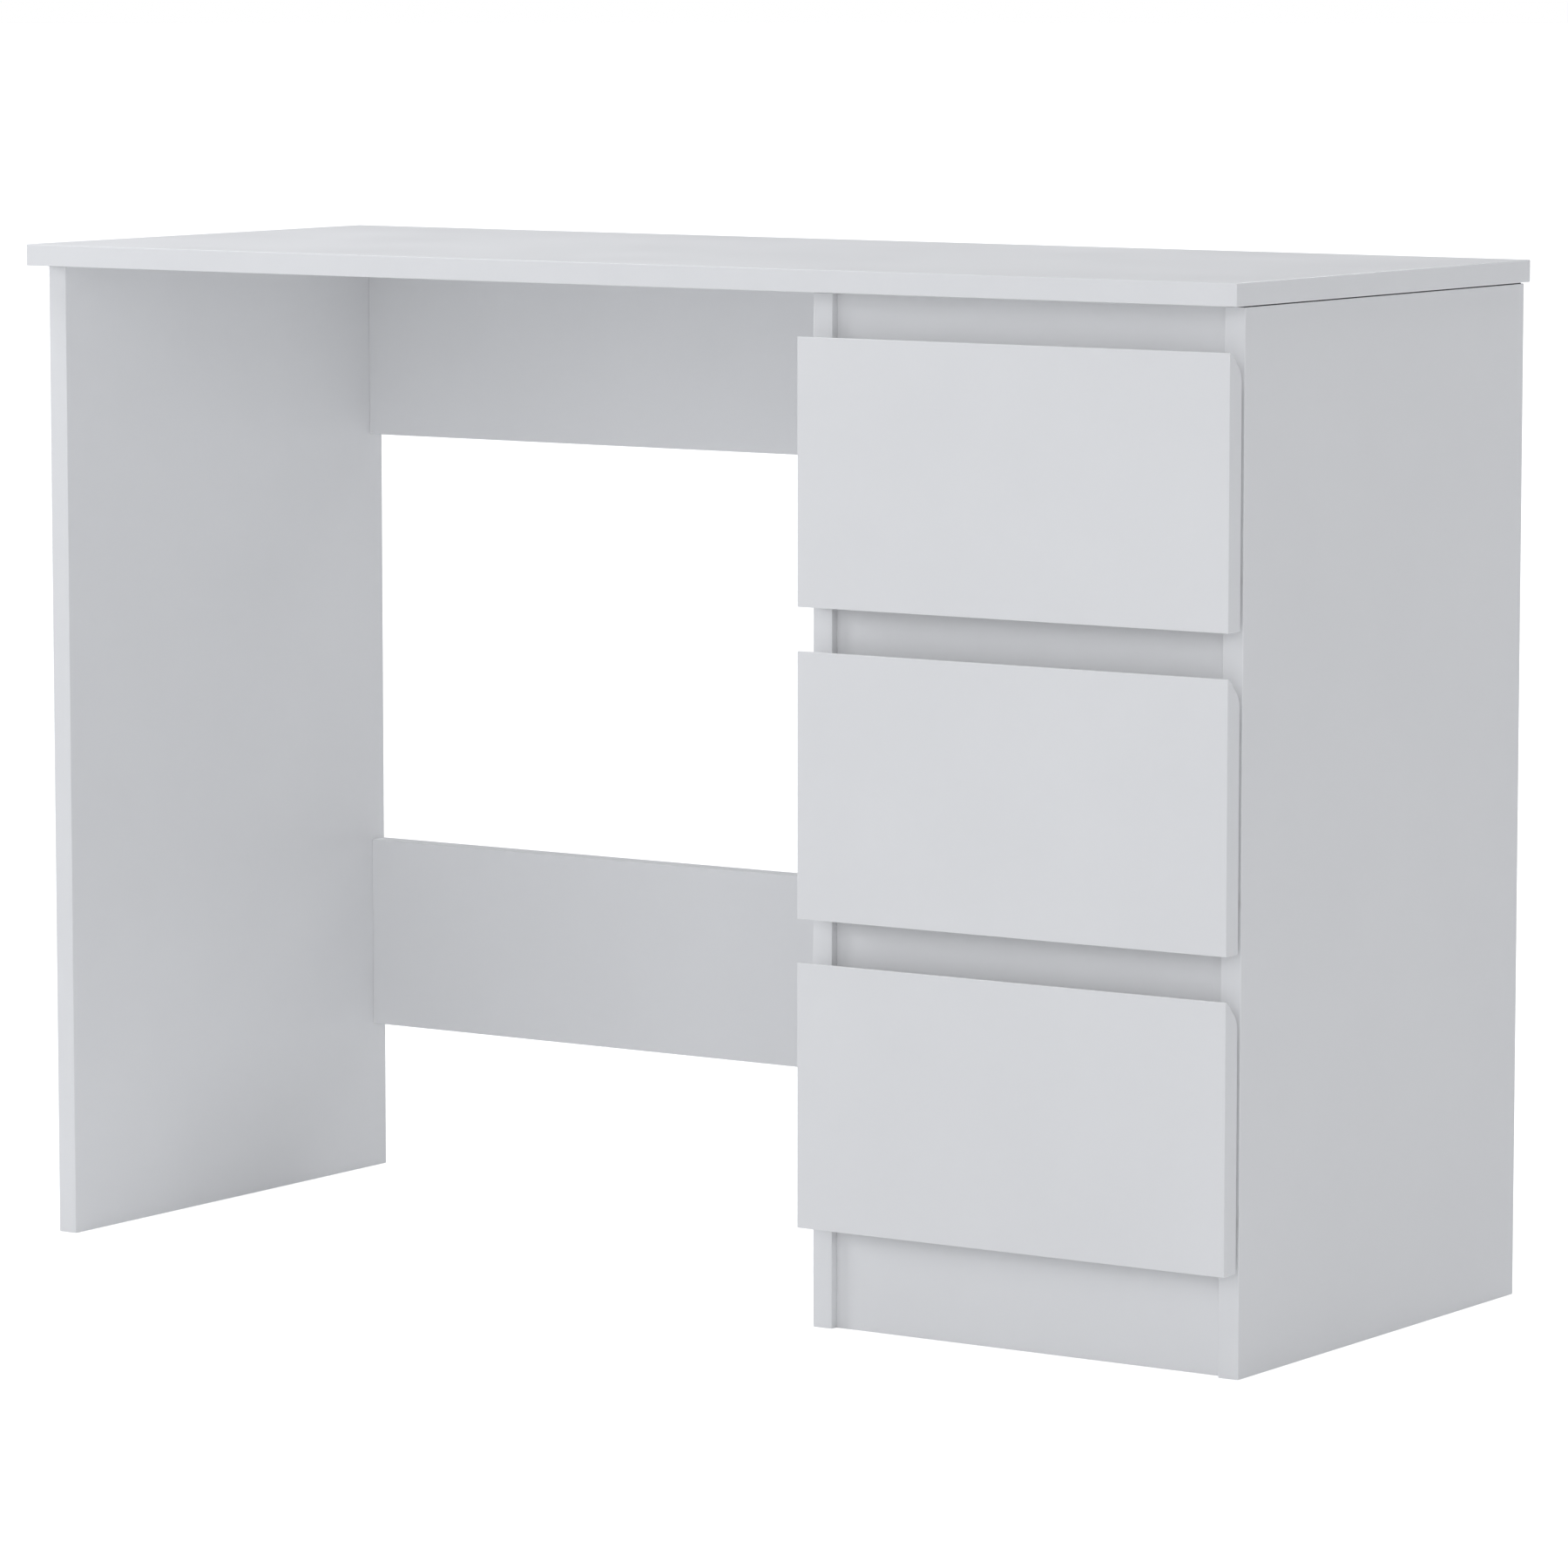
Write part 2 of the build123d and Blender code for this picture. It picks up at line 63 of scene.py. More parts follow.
BODY_OF = {}
for body, members in frame["record"]["behaviour"]["bodies"].items():
    for member in members:
        BODY_OF[member] = body
SLOT_OF = {part["node"]: part["material_slot"] for part in frame["record"]["subparts"]}

# %% [markdown]
# ## The studio
#
# The desk is seen from the front right through a long lens, a little from above. A long lens keeps the
# boards' edges nearly parallel, as in a catalogue. The camera could also be turned with a tracking
# constraint, but two angles are easier to read and to change.

# %% Camera
CAMERA_PLACE = Vector((3.099, -4.545, 1.0))
CAMERA_AZIMUTH = math.radians(34.116)
CAMERA_DOWN = math.radians(6.652)
LENS = 172.63
SENSOR = 36.0
VIEW_DEPTH = 200.0

camera = bpy.data.objects.new("camera", bpy.data.cameras.new("camera"))
bpy.context.scene.collection.objects.link(camera)
camera.location = CAMERA_PLACE
camera.rotation_euler = (math.pi / 2 - CAMERA_DOWN, 0, CAMERA_AZIMUTH)
camera.data.lens = LENS
camera.data.sensor_width = SENSOR
camera.data.clip_end = VIEW_DEPTH
bpy.context.scene.camera = camera
print("camera looks down by", round(math.degrees(CAMERA_DOWN), 1), "degrees")

# %% [markdown]
# A white object needs soft light with a direction, or it turns into a flat shape. So a pale sky lights it
# from all round, and large softboxes far away add a key on the left, fills on the right and some light
# from behind for the top. A Sun lamp with a wide angle is just that: a softbox so far away that it has no
# falloff. One nearer lamp does fall off: it lifts the left end of the top and of the left panel.
# The colours are shown with the Standard view, because a filmic one would grey the white.

# %% Light
LIGHT_COLOUR = (0.962, 0.973, 1.0)
SKY_STRENGTH = 0.36
# azimuth from the sitter's side towards the right, elevation, width as seen from the desk, strength
SOFTBOXES = {
    "left_key": (-65, 15, 18, 0.56),
    "left_fill": (-25, 15, 35, 0.17),
    "right_fill": (25, 15, 35, 0.31),
    "right_side_fill": (70, 15, 35, 0.145),
    "back_light": (180, 45, 35, 1.0),
    "overhead": (0, 80, 35, 0.24),
}
NEAR_PLACE = Vector((-0.8, -0.6, 1.8))
NEAR_AIM = Vector((-0.5, -0.2, 0.6))
NEAR_SIZE = 0.6
NEAR_POWER = 4.1


def link(tree, source, target):
    tree.links.new(source, target)


def make_sky():
    """An even pale sky for light, and a white one where the camera looks past the floor."""
    world = bpy.data.worlds.new("studio")
    bpy.context.scene.world = world
    world.use_nodes = True
    tree = world.node_tree
    tree.nodes.clear()
    light = tree.nodes.new("ShaderNodeBackground")
    light.inputs["Color"].default_value = (*LIGHT_COLOUR, 1)
    light.inputs["Strength"].default_value = SKY_STRENGTH
    backdrop = tree.nodes.new("ShaderNodeBackground")
    backdrop.inputs["Color"].default_value = (1, 1, 1, 1)
    path = tree.nodes.new("ShaderNodeLightPath")
    mix = tree.nodes.new("ShaderNodeMixShader")
    output = tree.nodes.new("ShaderNodeOutputWorld")
    link(tree, path.outputs["Is Camera Ray"], mix.inputs["Fac"])
    link(tree, light.outputs[0], mix.inputs[1])
    link(tree, backdrop.outputs[0], mix.inputs[2])
    link(tree, mix.outputs[0], output.inputs["Surface"])


def hang_lamp(name, kind, strength, towards):
    """A lamp of a kind, whose light travels against the direction given."""
    data = bpy.data.lights.new(name, kind)
    data.energy = strength
    data.color = LIGHT_COLOUR
    lamp = bpy.data.objects.new(name, data)
    bpy.context.scene.collection.objects.link(lamp)
    lamp.rotation_euler = towards.to_track_quat("Z", "Y").to_euler()
    return lamp


def compass(azimuth, elevation):
    """The direction towards a place in the sky, from angles in degrees."""
    around, up = math.radians(azimuth), math.radians(elevation)
    return Vector((math.sin(around) * math.cos(up), -math.cos(around) * math.cos(up), math.sin(up)))


make_sky()
for name, (azimuth, elevation, width, strength) in SOFTBOXES.items():
    hang_lamp(name, "SUN", strength, compass(azimuth, elevation)).data.angle = math.radians(width)
near = hang_lamp("near_lamp", "AREA", NEAR_POWER, NEAR_PLACE - NEAR_AIM)
near.location = NEAR_PLACE
near.data.size = NEAR_SIZE
bpy.context.scene.view_settings.view_transform = "Standard"
print("hung", len(SOFTBOXES), "softboxes and a near lamp")

# %% [markdown]
# ## Surface effects as node groups
#
# Melamine board, edge band, powder coat and hardboard all have the same two things at different sizes:
# a fine pressed grain that you feel with a fingertip, and a broad, very faint unevenness of tone. So the
# grain is one node group with named inputs, placed in each material with its own values. The group puts
# out values only, and the shader stays in the material.

# %% Node helpers


def add_node(tree, kind, settings=None, values=None):
    """A new node with its settings, and with its inputs set or linked."""
    made = tree.nodes.new(kind)
    for key, value in (settings or {}).items():
        setattr(made, key, value)
    for key, value in (values or {}).items():
        if isinstance(value, bpy.types.NodeSocket):
            link(tree, value, made.inputs[key])
        else:
            made.inputs[key].default_value = value
    return made


def new_group(name, inputs, outputs):
    """An empty node group with float or vector sockets, and its two end nodes."""
    group = bpy.data.node_groups.new(name, "ShaderNodeTree")
    for label, kind in inputs:
        group.interface.new_socket(label, in_out="INPUT", socket_type=kind)
    for label, kind in outputs:
        group.interface.new_socket(label, in_out="OUTPUT", socket_type=kind)
    start = group.nodes.new("NodeGroupInput")
    end = group.nodes.new("NodeGroupOutput")
    return group, start, end


FLOAT = "NodeSocketFloat"
VECTOR = "NodeSocketVector"

# %% Pressed grain


def make_grain_group():
    """Fine pebbled relief with a broad unevenness, for pressed, moulded and sprayed surfaces."""
    inputs = [("Place", VECTOR), ("Grain per metre", FLOAT), ("Clouds per metre", FLOAT)]
    outputs = [("Height", FLOAT), ("Tone", FLOAT), ("Polish", FLOAT)]
    group, start, end = new_group("pressed_grain", inputs, outputs)
    place = start.outputs["Place"]
    pebbles = add_node(
        group,
        "ShaderNodeTexVoronoi",
        {"feature": "SMOOTH_F1"},
        {"Vector": place, "Scale": start.outputs["Grain per metre"], "Smoothness": 0.6},
    )
    grit = add_node(
        group,
        "ShaderNodeTexNoise",
        values={"Vector": place, "Scale": start.outputs["Grain per metre"], "Detail": 3.0},
    )
    height = add_node(group, "ShaderNodeMath", {"operation": "ADD"})
    link(group, pebbles.outputs["Distance"], height.inputs[0])
    link(group, grit.outputs["Fac"], height.inputs[1])
    clouds = add_node(
        group,
        "ShaderNodeTexNoise",
        values={"Vector": place, "Scale": start.outputs["Clouds per metre"], "Detail": 4.0},
    )
    tone = add_node(group, "ShaderNodeMapRange", values={0: clouds.outputs["Fac"], 1: 0.3, 2: 0.7})
    polish = add_node(group, "ShaderNodeMath", {"operation": "MULTIPLY_ADD"})
    link(group, grit.outputs["Fac"], polish.inputs[0])
    polish.inputs[1].default_value = 0.5
    link(group, tone.outputs[0], polish.inputs[2])
    link(group, height.outputs[0], end.inputs["Height"])
    link(group, tone.outputs[0], end.inputs["Tone"])
    link(group, polish.outputs[0], end.inputs["Polish"])
    return group


GRAIN = make_grain_group()
print("group", GRAIN.name, "puts out", [socket.name for socket in GRAIN.interface.items_tree][:3])

# %% [markdown]
# Metal and wood have a direction instead: drawn wire and rolled sheet carry fine streaks, and a beech
# dowel has pores along its length. Stretching a noise pattern gives both. The group takes the stretch as
# a vector, so that each material chooses its own direction.

# %% Drawn streaks


def make_streak_group():
    """Fine streaks along one direction, for drawn metal and for wood."""
    inputs = [("Place", VECTOR), ("Stretch", VECTOR), ("Streaks per metre", FLOAT)]
    outputs = [("Height", FLOAT), ("Tone", FLOAT)]
    group, start, end = new_group("drawn_streaks", inputs, outputs)
    stretched = add_node(
        group,
        "ShaderNodeVectorMath",
        {"operation": "MULTIPLY"},
        {0: start.outputs["Place"], 1: start.outputs["Stretch"]},
    )
    streaks = add_node(
        group,
        "ShaderNodeTexNoise",
        values={
            "Vector": stretched.outputs[0],
            "Scale": start.outputs["Streaks per metre"],
            "Detail": 5.0,
            "Roughness": 0.65,
        },
    )
    tone = add_node(group, "ShaderNodeMapRange", values={0: streaks.outputs["Fac"], 1: 0.25, 2: 0.75})
    link(group, streaks.outputs["Fac"], end.inputs["Height"])
    link(group, tone.outputs[0], end.inputs["Tone"])
    return group


STREAKS = make_streak_group()
print("group", STREAKS.name, "is ready")

# %% [markdown]
# ## Finishes
#
# Each finish is a Principled shader fed by one of the groups: two close colours mixed by the tone, a
# roughness range driven by the same pattern, and a Bump node for the relief. The two colours of the
# melamine differ by about two percent, which is what keeps a real white board from looking like paint
# in a drawing program. The rounded corners of a band catch the light as a fine pale line. A rounding this
# small is too narrow to do that on its own, so it has a slightly whiter and glossier finish.

# %% A grained finish


def start_finish(name):
    """A new material with an empty Principled shader and object coordinates to hang patterns on."""
    finish = bpy.data.materials.new(name)
    finish.use_nodes = True
    tree = finish.node_tree
    tree.nodes.clear()
    shader = tree.nodes.new("ShaderNodeBsdfPrincipled")
    output = tree.nodes.new("ShaderNodeOutputMaterial")
    link(tree, shader.outputs[0], output.inputs["Surface"])
    place = tree.nodes.new("ShaderNodeTexCoord").outputs["Object"]
    return finish, tree, shader, place


def dress(tree, shader, look, tone, polish, height):
    """Colour, roughness and relief of a finish, from a pattern's outputs."""
    colour = add_node(
        tree,
        "ShaderNodeMix",
        {"data_type": "RGBA"},
        {"Factor": tone},
    )
    colour.inputs[6].default_value = (*look["dark"], 1)
    colour.inputs[7].default_value = (*look["light"], 1)
    link(tree, colour.outputs[2], shader.inputs["Base Color"])
    low, high = look["roughness"]
    roughness = add_node(tree, "ShaderNodeMapRange", values={0: polish, 1: 0.0, 2: 1.5, 3: low, 4: high})
    link(tree, roughness.outputs[0], shader.inputs["Roughness"])
    bump = add_node(
        tree,
        "ShaderNodeBump",
        values={"Strength": look["relief"], "Distance": look["relief_depth"], "Height": height},
    )
    link(tree, bump.outputs["Normal"], shader.inputs["Normal"])
    shader.inputs["Metallic"].default_value = look.get("metal", 0.0)
    shader.inputs["IOR"].default_value = look.get("ior", 1.5)


def grained_finish(name, look):
    finish, tree, shader, place = start_finish(name)
    grain = add_node(
        tree,
        "ShaderNodeGroup",
        {"node_tree": GRAIN},
        {"Place": place, "Grain per metre": look["grain"], "Clouds per metre": look["clouds"]},
    )
    outputs = grain.outputs
    dress(tree, shader, look, outputs["Tone"], outputs["Polish"], outputs["Height"])
    return finish


def streaked_finish(name, look):
    finish, tree, shader, place = start_finish(name)
    streaks = add_node(
        tree,
        "ShaderNodeGroup",
        {"node_tree": STREAKS},
        {"Place": place, "Stretch": look["stretch"], "Streaks per metre": look["streaks"]},
    )
    outputs = streaks.outputs
    dress(tree, shader, look, outputs["Tone"], outputs["Tone"], outputs["Height"])
    return finish


MELAMINE = grained_finish(
    "white_melamine",
    {
        "dark": (0.894, 0.897, 0.904),
        "light": (0.911, 0.914, 0.920),
        "roughness": (0.34, 0.46),
        "relief": 0.22,
        "relief_depth": 0.06 * MM,
        "grain": 1400.0,
        "clouds": 9.0,
    },
)
EDGE_BAND = grained_finish(
    "white_edge_band",
    {
        "dark": (0.892, 0.896, 0.904),
        "light": (0.908, 0.912, 0.919),
        "roughness": (0.27, 0.31),
        "relief": 0.08,
        "relief_depth": 0.04 * MM,
        "grain": 2200.0,
        "clouds": 22.0,
    },
)
# The roundings' band is whiter than the band itself: a painted highlight for the fine pale line along each
# edge.
PAINTED_HIGHLIGHT_EDGE = grained_finish(
    "painted_highlight_band_edge",
    {
        "dark": (0.948, 0.950, 0.955),
        "light": (0.966, 0.968, 0.972),
        "roughness": (0.22, 0.27),
        "relief": 0.05,
        "relief_depth": 0.03 * MM,
        "grain": 3000.0,
        "clouds": 30.0,
    },
)
POWDER_COAT = grained_finish(
    "white_powder_coat",
    {
        "dark": (0.76, 0.765, 0.76),
        "light": (0.80, 0.805, 0.80),
        "roughness": (0.24, 0.42),
        "relief": 0.3,
        "relief_depth": 0.12 * MM,
        "grain": 700.0,
        "clouds": 40.0,
    },
)
NYLON = grained_finish(
    "moulded_nylon",
    {
        "dark": (0.74, 0.735, 0.69),
        "light": (0.79, 0.785, 0.74),
        "roughness": (0.38, 0.55),
        "relief": 0.15,
        "relief_depth": 0.05 * MM,
        "grain": 2600.0,
        "clouds": 120.0,
    },
)
CAST_ZINC = grained_finish(
    "cast_zinc",
    {
        "dark": (0.42, 0.42, 0.41),
        "light": (0.56, 0.56, 0.54),
        "roughness": (0.34, 0.58),
        "relief": 0.4,
        "relief_depth": 0.1 * MM,
        "grain": 1500.0,
        "clouds": 260.0,
        "metal": 1.0,
    },
)
PLATED_STEEL = streaked_finish(
    "zinc_plated_steel",
    {
        "dark": (0.50, 0.49, 0.46),
        "light": (0.66, 0.65, 0.62),
        "roughness": (0.22, 0.42),
        "relief": 0.15,
        "relief_depth": 0.05 * MM,
        "streaks": 600.0,
        "stretch": (0.12, 1.0, 1.0),
        "metal": 1.0,
    },
)
BEECH = streaked_finish(
    "beech",
    {
        "dark": (0.42, 0.25, 0.13),
        "light": (0.60, 0.41, 0.25),
        "roughness": (0.5, 0.72),
        "relief": 0.5,
        "relief_depth": 0.2 * MM,
        "streaks": 900.0,
        "stretch": (0.1, 1.0, 1.0),
    },
)
print(len(bpy.data.materials), "materials, with those that came with the model")

# %% [markdown]
# Chipboard shows wherever a board is neither faced nor banded: under the panels, at the ends of the
# rails, in the pockets and grooves. It is pressed flakes of wood, each with its own brown, in a paler
# glue. Voronoi cells are flakes: one random colour per cell. The same flakes in dark greys are painted
# shade on the necks at the panels' upper ends, for the thin dark line under the top. The hardboard's back
# is the same idea with a woven mesh pressed into it by the press's wire screen.

# %% Chipboard and hardboard


FLAKES_PER_METRE = 620.0
FLAKE_FLATTENING = 1.7
MIDDLE_TONE = 0.55
CUT_ROUGHNESS = 0.82


def make_chipboard(name, dark, middle, light):
    """Pressed flakes in three tones."""
    finish, tree, shader, place = start_finish(name)
    stretched = add_node(
        tree, "ShaderNodeMapping", values={"Vector": place, "Scale": (1.0, 1.0, FLAKE_FLATTENING)}
    )
    flakes = add_node(
        tree,
        "ShaderNodeTexVoronoi",
        values={"Vector": stretched.outputs[0], "Scale": FLAKES_PER_METRE},
    )
    colours = add_node(tree, "ShaderNodeValToRGB", values={"Fac": flakes.outputs["Color"]})
    ramp = colours.color_ramp
    ramp.elements[0].color = (*dark, 1)
    ramp.elements[1].color = (*light, 1)
    ramp.elements.new(MIDDLE_TONE).color = (*middle, 1)
    link(tree, colours.outputs["Color"], shader.inputs["Base Color"])
    shader.inputs["Roughness"].default_value = CUT_ROUGHNESS
    bump = add_node(
        tree,
        "ShaderNodeBump",
        values={"Strength": 0.7, "Distance": 0.3 * MM, "Height": flakes.outputs["Distance"]},
    )
    link(tree, bump.outputs["Normal"], shader.inputs["Normal"])
    return finish


WIRES_PER_METRE = 190.0


def make_screen_back():
    """White lacquered hardboard with the mesh of the press's wire screen in it."""
    finish, tree, shader, place = start_finish("white_hardboard")
    grain = add_node(
        tree,
        "ShaderNodeGroup",
        {"node_tree": GRAIN},
        {"Place": place, "Grain per metre": 900.0, "Clouds per metre": 14.0},
    )
    waves = []
    for direction in ("X", "Z"):
        waves.append(
            add_node(
                tree,
                "ShaderNodeTexWave",
                {"bands_direction": direction},
                {"Vector": place, "Scale": WIRES_PER_METRE, "Distortion": 0.6, "Detail": 1.0},
            )
        )
    mesh = add_node(tree, "ShaderNodeMath", {"operation": "MULTIPLY"})
    link(tree, waves[0].outputs["Fac"], mesh.inputs[0])
    link(tree, waves[1].outputs["Fac"], mesh.inputs[1])
    height = add_node(tree, "ShaderNodeMath", {"operation": "MULTIPLY_ADD"})
    link(tree, mesh.outputs[0], height.inputs[0])
    height.inputs[1].default_value = 0.8
    link(tree, grain.outputs["Height"], height.inputs[2])
    look = {
        "dark": (0.80, 0.797, 0.79),
        "light": (0.84, 0.838, 0.832),
        "roughness": (0.5, 0.66),
        "relief": 0.25,
        "relief_depth": 0.1 * MM,
    }
    dress(tree, shader, look, grain.outputs["Tone"], grain.outputs["Polish"], height.outputs[0])
    return finish


CHIPBOARD = make_chipboard("raw_chipboard", (0.30, 0.19, 0.10), (0.52, 0.37, 0.23), (0.68, 0.52, 0.35))
# Dark grey flakes: painted shade on the panels' necks, which darkens the thin line under the top.
PAINTED_SHADE_CORE = make_chipboard(
    "painted_shade_chipboard", (0.10, 0.10, 0.105), (0.17, 0.17, 0.175), (0.25, 0.25, 0.25)
)
HARDBOARD = make_screen_back()
BOARD_FINISHES = (MELAMINE, EDGE_BAND, CHIPBOARD, PAINTED_SHADE_CORE, PAINTED_HIGHLIGHT_EDGE)
FACED, BANDED, RAW, PAINTED_SHADE, PAINTED_HIGHLIGHT = range(5)
print("board finishes", [finish.name for finish in BOARD_FINISHES])

# %% [markdown]
# ## Boards
#
# A board could be a cube with a Bevel modifier, but a real one isn't the same all over: the long edges
# carry a rounded band, the ends that meet another board are cut square, and the underside is bare. So
# each blank is a cube whose long edges are bevelled first, and then the outline of its two ends with a
# smaller radius. The faces are then told which finish they have by the way they look.

# %% Board helpers
BAND_RADIUS = 0.6 * MM
CUT_RADIUS = 0.4 * MM
BAND_STEPS = 4
FLAT = 0.999  # a face counts as looking along an axis from this cosine up
LEANING = 0.1  # and as leaning towards it from this cosine up
STRIP_AREA = 0.001  # slanted faces up to this area, in square metres, belong to a rounding
FOLDED = 0.1  # an edge turns by at least this angle where two sides meet
SHARP = math.radians(30)  # and by more than this one where it is still to be rounded
MERGE_GAP = 0.001 * MM
LEVEL_PLAY = 0.01 * MM


def slab(low, high):
    """A plain blank between two corners."""
    shape = bmesh.new()
    bmesh.ops.create_cube(shape, size=1)
    bmesh.ops.scale(shape, vec=high - low, verts=shape.verts)
    bmesh.ops.translate(shape, vec=(low + high) / 2, verts=shape.verts)
    shape.normal_update()
    return shape


def round_over(shape, edges, radius, steps=BAND_STEPS):
    bmesh.ops.bevel(
        shape,
        geom=edges,
        offset=radius,
        offset_type="OFFSET",
        affect="EDGES",
        segments=steps,
        profile=0.5,
        clamp_overlap=True,
        material=-1,
    )
    shape.normal_update()


def edges_along(shape, axis):
    """The edges that run along an axis, without those inside a flat side."""
    found = []
    for edge in shape.edges:
        run = (edge.verts[1].co - edge.verts[0].co).normalized()
        if abs(run[axis]) > FLAT and edge.calc_face_angle(0) > FOLDED:
            found.append(edge)
    return found


def once(items):
    """Each item once, in the order given. A set would put mesh elements in another order on each run."""
    return list(dict.fromkeys(items))


def end_outline(shape, axis, way):
    """The edges round one end of a board that runs along an axis: way is 1 for its high end, or -1."""
    ends = [face for face in shape.faces if face.normal[axis] * way > FLAT]
    return once(edge for face in ends for edge in face.edges)


def thin_axis(low, high):
    """The axis across a board's thickness."""
    size = high - low
    return min((X, Y, Z), key=lambda axis: size[axis])


def paint_board(shape, across, raw):
    """Facing on the broad sides, band on the edges, chipboard where raw says, a paler band on roundings as
    a painted highlight.
    """
    for face in shape.faces:
        normal = face.normal
        if abs(normal[across]) > FLAT:
            face.material_index = FACED
        elif any(normal.dot(direction) > FLAT for direction in raw):
            face.material_index = RAW
        elif max(abs(side) for side in normal) > FLAT or face.calc_area() > STRIP_AREA:
            face.material_index = BANDED
        else:
            # narrow roundings get the whiter band: a painted highlight
            face.material_index = PAINTED_HIGHLIGHT


def finish_piece(name, shape, finishes, nodes):
    """Turns a bmesh into an object that moves with its body and stands for its nodes."""
    bmesh.ops.recalc_face_normals(shape, faces=shape.faces)
    for face in shape.faces:
        square = max(abs(side) for side in face.normal) > FLAT
        face.smooth = not square and face.calc_area() < STRIP_AREA
    mesh = bpy.data.meshes.new(name)
    shape.to_mesh(mesh)
    shape.free()
    for finish in finishes:
        mesh.materials.append(finish)
    piece = bpy.data.objects.new(name, mesh)
    bpy.context.scene.collection.objects.link(piece)
    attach(piece, BODY_OF[nodes[0]])
    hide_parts(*nodes)
    return piece


# %% [markdown]
# Pockets and grooves are cut into a flat side. A Boolean would do it, but it leaves long slivers on a
# board. Here only the flat side is divided, by planes just round the cut. For a groove the strip between
# two planes is pushed in. For a round pocket the square between four planes is taken out, the space
# between its rim and a circle is filled again, and the circle is pushed in and closed.

# %% Cutting helpers
POCKET_SIDES = 32
POCKET_ROOM = 1.25  # the square round a pocket, as a multiple of its radius


def flat_side(shape, axis, level):
    """The faces of the flat side that looks along an axis and lies at a level on it."""
    return [
        face
        for face in shape.faces
        if abs(face.normal[axis]) > FLAT
        and abs(face.calc_center_median()[axis] - level) < LEVEL_PLAY
    ]


def divide_side(shape, axis, level, across, places):
    """Divides a flat side by planes across another axis."""
    for place in places:
        faces = flat_side(shape, axis, level)
        around = once(edge for face in faces for edge in face.edges)
        corners = once(vert for face in faces for vert in face.verts)
        point = Vector((0, 0, 0))
        point[across] = place
        bmesh.ops.bisect_plane(
            shape,
            geom=[*faces, *around, *corners],
            dist=MERGE_GAP,
            plane_co=point,
            plane_no=AXES[across],
        )
        shape.normal_update()


def faces_between(shape, axis, level, limits):
    """The faces of a flat side that lie within limits, given as {axis: (low, high)}."""
    found = []
    for face in flat_side(shape, axis, level):
        centre = face.calc_center_median()
        if all(low < centre[side] < high for side, (low, high) in limits.items()):
            found.append(face)
    return found


def sink(shape, faces, shift):
    """Pushes faces into the board. The walls and the floor of the cut are bare."""
    before = set(shape.faces)
    made = bmesh.ops.extrude_face_region(shape, geom=faces)["geom"]
    bmesh.ops.delete(shape, geom=faces, context="FACES_ONLY")
    corners = [item for item in made if isinstance(item, bmesh.types.BMVert)]
    bmesh.ops.translate(shape, vec=shift, verts=corners)
    for face in shape.faces:
        if face not in before:
            face.material_index = RAW
    shape.normal_update()


def inward(shape_middle, axis, level, depth):
    """The step from a flat side at a level into the board."""
    step = Vector((0, 0, 0))
    step[axis] = depth if shape_middle[axis] > level else -depth
    return step


def cut_groove(shape, middle, axis, level, across, limits, depth):
    """A groove along a flat side, between two limits on the axis across it."""
    divide_side(shape, axis, level, across, limits)
    strip = faces_between(shape, axis, level, {across: limits})
    sink(shape, strip, inward(middle, axis, level, depth))


def pocket_limits(axis, centre, radius):
    """The square round a pocket, as limits on the two axes across it."""
    room = radius * POCKET_ROOM
    return {side: (centre[side] - room, centre[side] + room) for side in (X, Y, Z) if side != axis}


def open_pocket(shape, middle, axis, level, centre, radius, depth):
    """A round blind pocket in a flat side that is already divided round it."""
    square = faces_between(shape, axis, level, pocket_limits(axis, centre, radius))
    rim = [edge for face in square for edge in face.edges]
    rim = [edge for edge in rim if rim.count(edge) == 1]
    bmesh.ops.delete(shape, geom=square, context="FACES")
    at = Vector(centre)
    at[axis] = level
    turn = AXES[Z].rotation_difference(AXES[axis]).to_matrix().to_4x4()
    circle = bmesh.ops.create_circle(
        shape, segments=POCKET_SIDES, radius=radius, matrix=Matrix.Translation(at) @ turn
    )
    ring = once(edge for vert in circle["verts"] for edge in vert.link_edges)
    filled = bmesh.ops.triangle_fill(shape, edges=[*rim, *ring], use_beauty=True, normal=AXES[axis])
    for face in filled["geom"]:
        if isinstance(face, bmesh.types.BMFace):
            face.material_index = FACED
    walls = bmesh.ops.extrude_edge_only(shape, edges=ring)["geom"]
    corners = [item for item in walls if isinstance(item, bmesh.types.BMVert)]
    bmesh.ops.translate(shape, vec=inward(middle, axis, level, depth), verts=corners)
    bottom = [item for item in walls if isinstance(item, bmesh.types.BMEdge) and item.is_boundary]
    floor = bmesh.ops.edgeloop_fill(shape, edges=bottom)["faces"]
    for face in [*floor, *[item for item in walls if isinstance(item, bmesh.types.BMFace)]]:
        face.material_index = RAW
    shape.normal_update()


# %% [markdown]
# The pockets go where the engineering model has its cams. A group node holds many separate cams, so the
# helper below merges a copy of its mesh and walks over the connected faces, one island per cam. A cam's
# short side is its axis, and the board that it lies in is the one whose box holds its centre.

# %% Find the cams
POCKET_PLAY = 0.1 * MM
POCKET_EXTRA = 0.5 * MM


